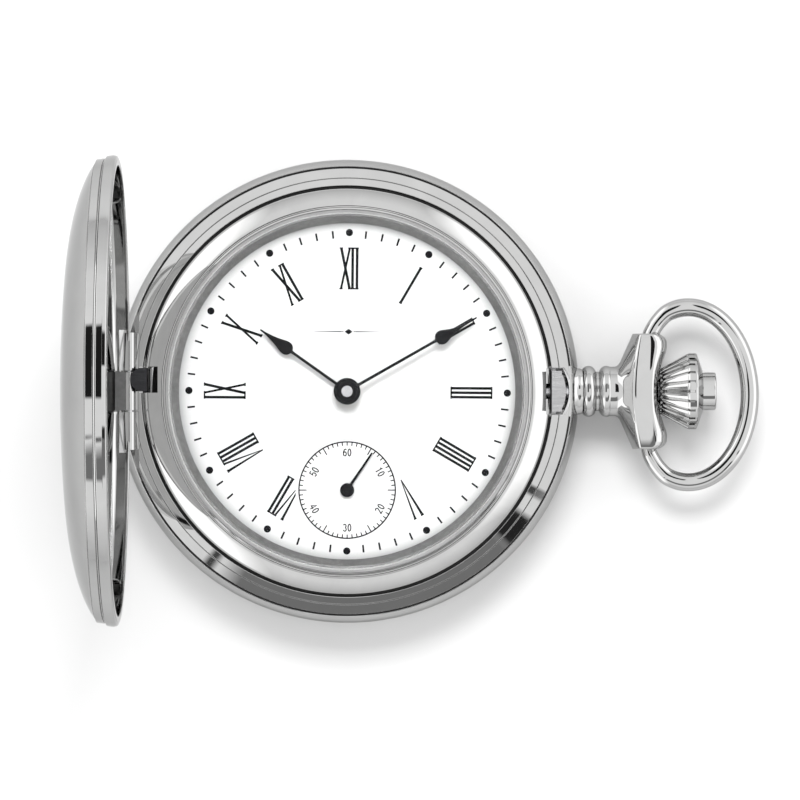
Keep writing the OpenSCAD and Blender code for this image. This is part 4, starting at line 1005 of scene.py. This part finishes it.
def roman(pr, text, clock):
    V0, V1 = 10.56, 14.90
    PITCH, THICK, THIN, BAR = 0.46, 0.28, 0.225, 0.16
    XW, GAP = 0.88, 0.30
    VW = 0.85
    place = at_hour(clock)
    centre = np.array(P_SEC)

    def seg(u0, v0, u1, v1, w0, w1=None):
        w1 = w0 if w1 is None else w1
        p, q = place(u0, v0), place(u1, v1)
        (a, b), (c, d) = clip_out(p, q, w0, w1, centre, 5.34)
        pr.strip([a, b], [c, d])

    # widths of the letters and where each starts
    x = 0.0
    items = []
    for ch in text:
        if ch == "I":
            items.append((ch, x))
            x += PITCH
        elif ch == "X":
            items.append((ch, x))
            x += XW + GAP
        else:
            items.append((ch, x))
            x += VW + GAP
    last = text[-1]
    total = items[-1][1] + (0 if last == "I" else XW if last == "X" else VW)
    off = -total / 2
    tops, bots = [], []
    for ch, x0 in items:
        u = x0 + off
        if ch == "I":
            seg(u, V1 - BAR / 2, u, V0 + BAR / 2, THICK)
            tops.append((u - 0.18, u + 0.18))
            bots.append((u - 0.18, u + 0.18))
        elif ch == "X":
            if text == "IX":
                seg(u + XW, V1 - BAR / 2, u, V0 + BAR / 2, THICK)
                seg(u, V1 - BAR / 2, u + XW, V0 + BAR / 2, THIN)
            else:
                seg(u, V1 - BAR / 2, u + XW, V0 + BAR / 2, THICK)
                seg(u + XW, V1 - BAR / 2, u, V0 + BAR / 2, THIN)
            for side in (tops, bots):
                side.append((u - 0.18, u + 0.18))
                side.append((u + XW - 0.18, u + XW + 0.18))
        else:
            seg(u, V1 - BAR / 2, u + 0.16, V0 + 0.02, THICK, 0.12)
            seg(u + VW, V1 - BAR / 2, u + 0.17, V0 + 0.02, THIN, 0.08)
            tops.append((u - 0.18, u + 0.18))
            tops.append((u + VW - 0.16, u + VW + 0.16))

    def bars(spans, v):
        spans = sorted(spans)
        merged = [list(spans[0])]
        for a, b in spans[1:]:
            if a <= merged[-1][1] + 0.13:
                merged[-1][1] = max(merged[-1][1], b)
            else:
                merged.append([a, b])
        for a, b in merged:
            pr.line(place(a, v), place(b, v), BAR)

    if tops:
        bars(tops, V1 - BAR / 2)
    if bots:
        bars(bots, V0 + BAR / 2)


def glyph(ch):
    """Strokes of a numeral in a box 0.42 wide and 0.83 tall about the origin, as (points, closed)."""
    W, H = 0.145, 0.355

    def el(cx, cy, rx, ry, a0, a1, n=18):
        return [(cx + rx * math.cos(math.radians(a0 + (a1 - a0) * i / n)), cy + ry * math.sin(math.radians(a0 + (a1 - a0) * i / n))) for i in range(n + 1)]

    if ch == "0":
        return [(el(0, 0, W, H, 0, 345, 23), True)]
    if ch == "1":
        return [([(-0.13, 0.2), (0.03, 0.33), (0.03, -0.4)], False)]
    if ch == "2":
        return [(el(0, 0.2, W, 0.155, 165, -30, 12) + [(-0.15, -0.355), (0.19, -0.355)], False)]
    if ch == "3":
        return [(el(-0.01, 0.185, 0.135, 0.165, 160, -75, 12), False), (el(-0.01, -0.175, 0.15, 0.185, 75, -165, 14), False)]
    if ch == "4":
        return [([(0.07, -0.4), (0.07, 0.36), (-0.17, -0.14), (0.19, -0.14)], False)]
    if ch == "5":
        return [([(0.15, 0.355), (-0.1, 0.355), (-0.135, -0.02)] + el(0.0, -0.135, 0.15, 0.215, 125, -150, 14), False)]
    if ch == "6":
        return [(el(0.0, -0.14, 0.145, 0.205, 0, 345, 20), True), (el(0.055, -0.1, 0.2, 0.44, 60, 180, 10), False)]
    return []


def number(pr, text, centre, rot, size=1.0, w=0.118):
    """Numerals about centre, turned by rot from upright."""
    c, s = math.cos(rot), math.sin(rot)
    for i, ch in enumerate(text):
        ox = (i - (len(text) - 1) / 2) * 0.475
        for pts, closed in glyph(ch):
            pp = [((x + ox) * size, y * size) for x, y in pts]
            pr.poly([(centre[0] + c * x - s * y, centre[1] + s * x + c * y) for x, y in pp], w * size, closed)


def build_print():
    pr = Print(7.33, 7.362)
    for i in range(60):
        p = at_hour(6 * i)
        if i % 5 == 0:
            pr.disc(p(0, 16.43), 0.375)
        else:
            pr.line(p(0, 15.87), p(0, 16.66), 0.195)
    for hour, text in zip((12, 1, 2, 3, 4, 5, 7, 8, 9, 10, 11), ("XII", "I", "II", "III", "IIII", "V", "VII", "VIII", "IX", "X", "XI")):
        roman(pr, text, 30 * hour)
    # plain lozenge and rule under twelve
    y = 6.2
    pr.strip([(-0.42, y), (0, y + 0.3), (0.42, y)], [(-0.42, y), (0, y - 0.3), (0.42, y)])
    for s in (-1, 1):
        pr.line((s * 0.72, y), (s * 3.6, y), 0.11, 0.03)
        pr.disc((s * 0.6, y), 0.07, 16)
    o = pr.build("dial_print")
    ps = Print(7.21, 7.243)
    cx, cy = P_SEC
    ring = [(cx + 4.975 * math.cos(2 * PI * i / 120), cy + 4.975 * math.sin(2 * PI * i / 120)) for i in range(120)]
    ps.poly(ring, 0.14, True)
    for i in range(60):
        p = at_hour(6 * i)
        long = i % 10 == 5
        a, b = p(0, 4.95), p(0, 4.18 if long else 4.58)
        ps.line((a[0] + cx, a[1] + cy), (b[0] + cx, b[1] + cy), 0.115)
    for text, deg in (("60", 0), ("10", 61), ("20", 119.5), ("30", 180), ("40", 240.5), ("50", 299)):
        p = at_hour(deg)(0, 3.88)
        turn = -math.radians(deg) if deg < 90 or deg > 270 else -math.radians(deg) + PI
        number(ps, text, (p[0] + cx, p[1] + cy), turn, 1.0)
    return o, ps.build("seconds_print")


def build_dial():
    cx, cy = P_SEC
    rv = Rev(rounded([(1.15, 6.95), (18.25, 6.95, 0.05), (18.25, 7.35, 0.08), (1.15, 7.35, 0.05)], 4))
    o = rv.build("dial_plate", M_DIAL, 240)
    sink = Rev(rounded([(0, 7.23), (5.2, 7.23, 0.06), (5.26, 7.35), (5.3, 7.6), (0, 7.6)], 4), "Z", (cx, cy, 0)).build("tool", None, 160)
    boolean(o, [cyl_tool(0.4, 6.5, 8.0, "Z", (cx, cy, 0), 48), sink])
    wall = Rev([(5.2, 7.23), (5.2, 7.26), (5.26, 7.35), (5.5, 7.35), (5.5, 7.2)], "Z", (cx, cy, 0))
    return renormal(o, [rv])


# ------------------------------------------------------------------ put the pieces in place
piece(build_case_middle(), "case", "polished_steel", "case_middle")
piece(build_case_back(), "case", "polished_steel", "case_back")
piece(build_bezel(), "case", "polished_steel", "bezel")
piece(build_crystal(), "case", "crystal", "crystal")
# painted shade: near-black rings laid in the step at r 23.2 and in the crease between bezel and case, though passed
# under the gasket slot
for name, prof in (("step_line_painted_shade", [(23.03, 7.31), (23.2, 7.31), (23.2, 7.44), (23.03, 7.44)]), ("bezel_line_painted_shade", [(20.97, 7.56), (21.15, 7.56), (21.15, 7.8), (20.97, 7.8)])):
    rv = Rev(prof)
    o = rv.build(name, M_PAINTED_SHADE, 360)
    boolean(o, [box_tool((-25, -2.3, 7), (-20, 2.7, 9)), box_tool((20.5, -2.6, 7), (24.5, 2.6, 9))] + [cyl_tool(1.75, sy * 5.7 - 3.6, sy * 5.7 + 3.6, "Y", (HX, 0, HZ)) for sy in (-1, 1)])
    piece(by_angle(o), "case", "gasket")
piece(build_lid(), "lid", "polished_steel", "front_lid")
piece(build_pendant(), "case", "polished_steel", "pendant")
piece(build_bow(), "bow", "polished_steel", "bow")
piece(build_crown(), "stem", "polished_steel", "crown")
piece(build_pusher(), "pusher", "polished_steel", "pusher")
piece(build_hour_hand(), "hours", "hand_black", "hour_hand")
piece(build_minute_hand(), "minutes", "hand_black", "minute_hand")
piece(build_seconds_hand(), "seconds", "hand_black", "seconds_hand")
piece(build_dial(), "case", "dial_white", "dial")
dial_print, seconds_print = build_print()
dial_print.data.transform(Matrix.Translation((0.1 * MM, -0.05 * MM, 0)) @ Matrix.Rotation(math.radians(-0.48), 4, "Z"))
for o in (dial_print, seconds_print):
    piece(o, "case", "dial_white")

rv = Rev(rounded([(17.36, 7.36), (17.36, 7.44, 0.03), (18.08, 8.25, 0.03), (18.08, 7.44), (17.5, 7.36)]))
piece(renormal(rv.build("inner_ring", M_SATIN, 360), [rv]), "case", "polished_steel")
# painted shade: a near-black sheet in the catch slot, where there is only shade, though passed under the gasket slot
t = box_tool((20.97, -2.3, 7.36), (21.08, 2.3, 7.95))
t.name = "catch_slot_painted_shade"
t.data.materials.append(M_PAINTED_SHADE)
piece(t, "case", "gasket")

# finishes of the CAD pieces that show as they are
BLUED = {"bridge_screws", "case_clamp_screws", "hairspring", "ratchet_screw", "crown_wheel_core"}
RUBY = {"train_jewels", "balance_jewels", "pallet_stones"}
BRASS = {"centre_wheel", "third_wheel", "fourth_wheel", "barrel", "minute_wheel", "hour_wheel", "balance_wheel", "main_plate"}
NICKEL = {"barrel_bridge", "train_bridge", "pallet_bridge", "balance_cock"}
STEEL = {"ratchet_wheel", "crown_wheel", "barrel_arbor", "winding_stem", "winding_pinion", "sliding_pinion", "setting_wheel", "cannon_pinion",
         "escape_wheel", "pallet_fork", "balance_staff", "regulator", "lid_hinge_pin", "catch_spring_screw", "lift_spring_screw", "pendant_tube"}
for name, node in frame["nodes"].items():
    # the lift spring gets the near-black copy of the spring steel: painted shade
    mat = M_BLUE if name in BLUED else M_RUBY if name in RUBY else M_BRASS if name in BRASS else M_NICKEL if name in NICKEL else \
        M_STEEL if name in STEEL else M_GASKET if name == "crystal_gasket" else M_RING if name == "movement_ring" else \
        M_SPRING_PAINTED_SHADE if name == "lift_spring" else M_SPRING
    node.data.materials.clear()
    node.data.materials.append(mat)
    if name in ("lift_spring", "catch_spring", "cannon_pinion"):
        bev = node.modifiers.new("soft_edges", "BEVEL")
        bev.width = 0.00006
        bev.segments = 2
        bev.limit_method = "ANGLE"
        bev.angle_limit = math.radians(40)

# ------------------------------------------------------------------ studio
scene = bpy.context.scene
floor_mat, nt, bsdf = new_material("floor_paper")
vec = mm_coords(nt)
nt.links.new(ramp(nt, noise(nt, vec, 0.02, 3.0), [(0.3, 0.70), (0.7, 0.72)]), bsdf.inputs["Base Color"])
bsdf.inputs["Roughness"].default_value = 0.9
bsdf.inputs["Specular IOR Level"].default_value = 0.1
# the paper shows paler to the lens than the steel mirrors it
soft = nt.nodes.new("ShaderNodeBsdfDiffuse")
soft.inputs["Color"].default_value = (0.58, 0.58, 0.58, 1)
lp = nt.nodes.new("ShaderNodeLightPath")
mx = nt.nodes.new("ShaderNodeMixShader")
nt.links.new(lp.outputs["Is Camera Ray"], mx.inputs["Fac"])
nt.links.new(soft.outputs[0], mx.inputs[1])
nt.links.new(bsdf.outputs[0], mx.inputs[2])
nt.links.new(mx.outputs[0], nt.nodes["Material Output"].inputs["Surface"])
floor = solid("floor", [(-900, -900, -0.02), (900, -900, -0.02), (900, 900, -0.02), (-900, 900, -0.02)], [(0, 1, 2, 3)], floor_mat, smooth=False)

world = bpy.data.worlds.new("studio")
scene.world = world
world.use_nodes = True
wn = world.node_tree
bg = wn.nodes["Background"]
tc = wn.nodes.new("ShaderNodeTexCoord")
sep = wn.nodes.new("ShaderNodeSeparateXYZ")
wn.links.new(tc.outputs["Generated"], sep.inputs[0])
X, Y, Z = sep.outputs


def smooth_band(v, lo, hi, soft):
    """1 between lo and hi, falling to 0 over soft on either side."""
    a = maths(wn, "DIVIDE", maths(wn, "SUBTRACT", v, lo - soft / 2), soft, clamp=True)
    b = maths(wn, "DIVIDE", maths(wn, "SUBTRACT", hi + soft / 2, v), soft, clamp=True)
    return maths(wn, "MULTIPLY", a, b)


def patch(x0, x1, y0, y1, soft):
    up = maths(wn, "DIVIDE", maths(wn, "SUBTRACT", Z, 0.0), 0.02, clamp=True)
    return maths(wn, "MULTIPLY", maths(wn, "MULTIPLY", smooth_band(X, x0, x1, soft), smooth_band(Y, y0, y1, soft)), up)


def mix_to(light, mask, value):
    """light, drawn toward value where mask is 1."""
    return maths(wn, "ADD", light, maths(wn, "MULTIPLY", mask, maths(wn, "SUBTRACT", value, light)))


def times(*v):
    out = v[0]
    for q in v[1:]:
        out = maths(wn, "MULTIPLY", out, q)
    return out


# a pale tent with a bright sheet at either side and a darker opening in front
light = ramp(wn, maths(wn, "ADD", maths(wn, "MULTIPLY", Z, 0.5), 0.5), [(0.0, 0.6), (0.5, 0.62), (0.56, 0.72), (0.75, 0.95), (1.0, 1.0)])
light = maths(wn, "MULTIPLY", light, 1.25)
light = mix_to(light, times(smooth_band(X, -3.0, -0.46, 0.16), smooth_band(Z, 0.03, 0.64, 0.05)), 2.0)
light = mix_to(light, times(smooth_band(X, 0.46, 3.0, 0.16), smooth_band(Z, 0.03, 0.64, 0.05), smooth_band(Y, -0.5, 3.0, 0.25)), 2.0)
front = maths(wn, "MAXIMUM", maths(wn, "MULTIPLY", Y, -1.0), 0.001)
bearing = maths(wn, "DIVIDE", X, front)
ahead = smooth_band(Y, -2.0, -0.12, 0.06)
light = mix_to(light, times(ahead, smooth_band(bearing, -0.66, 1.05, 0.16), smooth_band(Z, 0.67, 0.88, 0.03)), 0.28)
light = mix_to(light, times(ahead, smooth_band(bearing, 1.02, 1.42, 0.10), smooth_band(Z, 0.70, 0.88, 0.03)), 0.03)
light = mix_to(light, times(ahead, smooth_band(bearing, 1.75, 1.95, 0.08), smooth_band(Z, 0.72, 0.87, 0.03)), 0.1)
light = mix_to(light, times(ahead, smooth_band(bearing, -0.86, -0.78, 0.05), smooth_band(Z, 0.70, 0.88, 0.03)), 0.1)
high = smooth_band(Z, 0.80, 2.0, 0.02)
light = mix_to(light, times(high, smooth_band(X, 0.10, 0.42, 0.02), smooth_band(Y, 0.20, 0.9, 0.02)), 0.02)
light = mix_to(light, times(high, smooth_band(X, -0.42, -0.07, 0.02), smooth_band(Y, -0.06, 0.9, 0.03)), 0.02)
comb = wn.nodes.new("ShaderNodeCombineColor")
for i in range(3):
    wn.links.new(light, comb.inputs[i])
wn.links.new(comb.outputs[0], bg.inputs["Color"])
bg.inputs["Strength"].default_value = 1.0


def area(name, loc, size, power, target=(0, 0, 5), spread=180):
    l = bpy.data.lights.new(name, "AREA")
    l.shape = "RECTANGLE"
    l.size, l.size_y = size[0] * MM, size[1] * MM
    l.energy = power
    l.spread = math.radians(spread)
    o = bpy.data.objects.new(name, l)
    scene.collection.objects.link(o)
    o.location = [c * MM for c in loc]
    d = Vector([t * MM for t in target]) - o.location
    o.rotation_euler = d.to_track_quat("-Z", "Y").to_euler()
    return o


key = area("key", (0, 330, 560), (300, 200), 2.8)
key.visible_glossy = False

cam_data = bpy.data.cameras.new("camera")
cam_data.lens = 253
cam_data.sensor_width = 36
cam_data.clip_start, cam_data.clip_end = 0.01, 10
cam = bpy.data.objects.new("camera", cam_data)
scene.collection.objects.link(cam)
cam.location = (5.46 * MM, -0.9 * MM, 588 * MM)
cam.rotation_euler = (0, 0, 0)
scene.camera = cam
scene.view_settings.view_transform = "Standard"
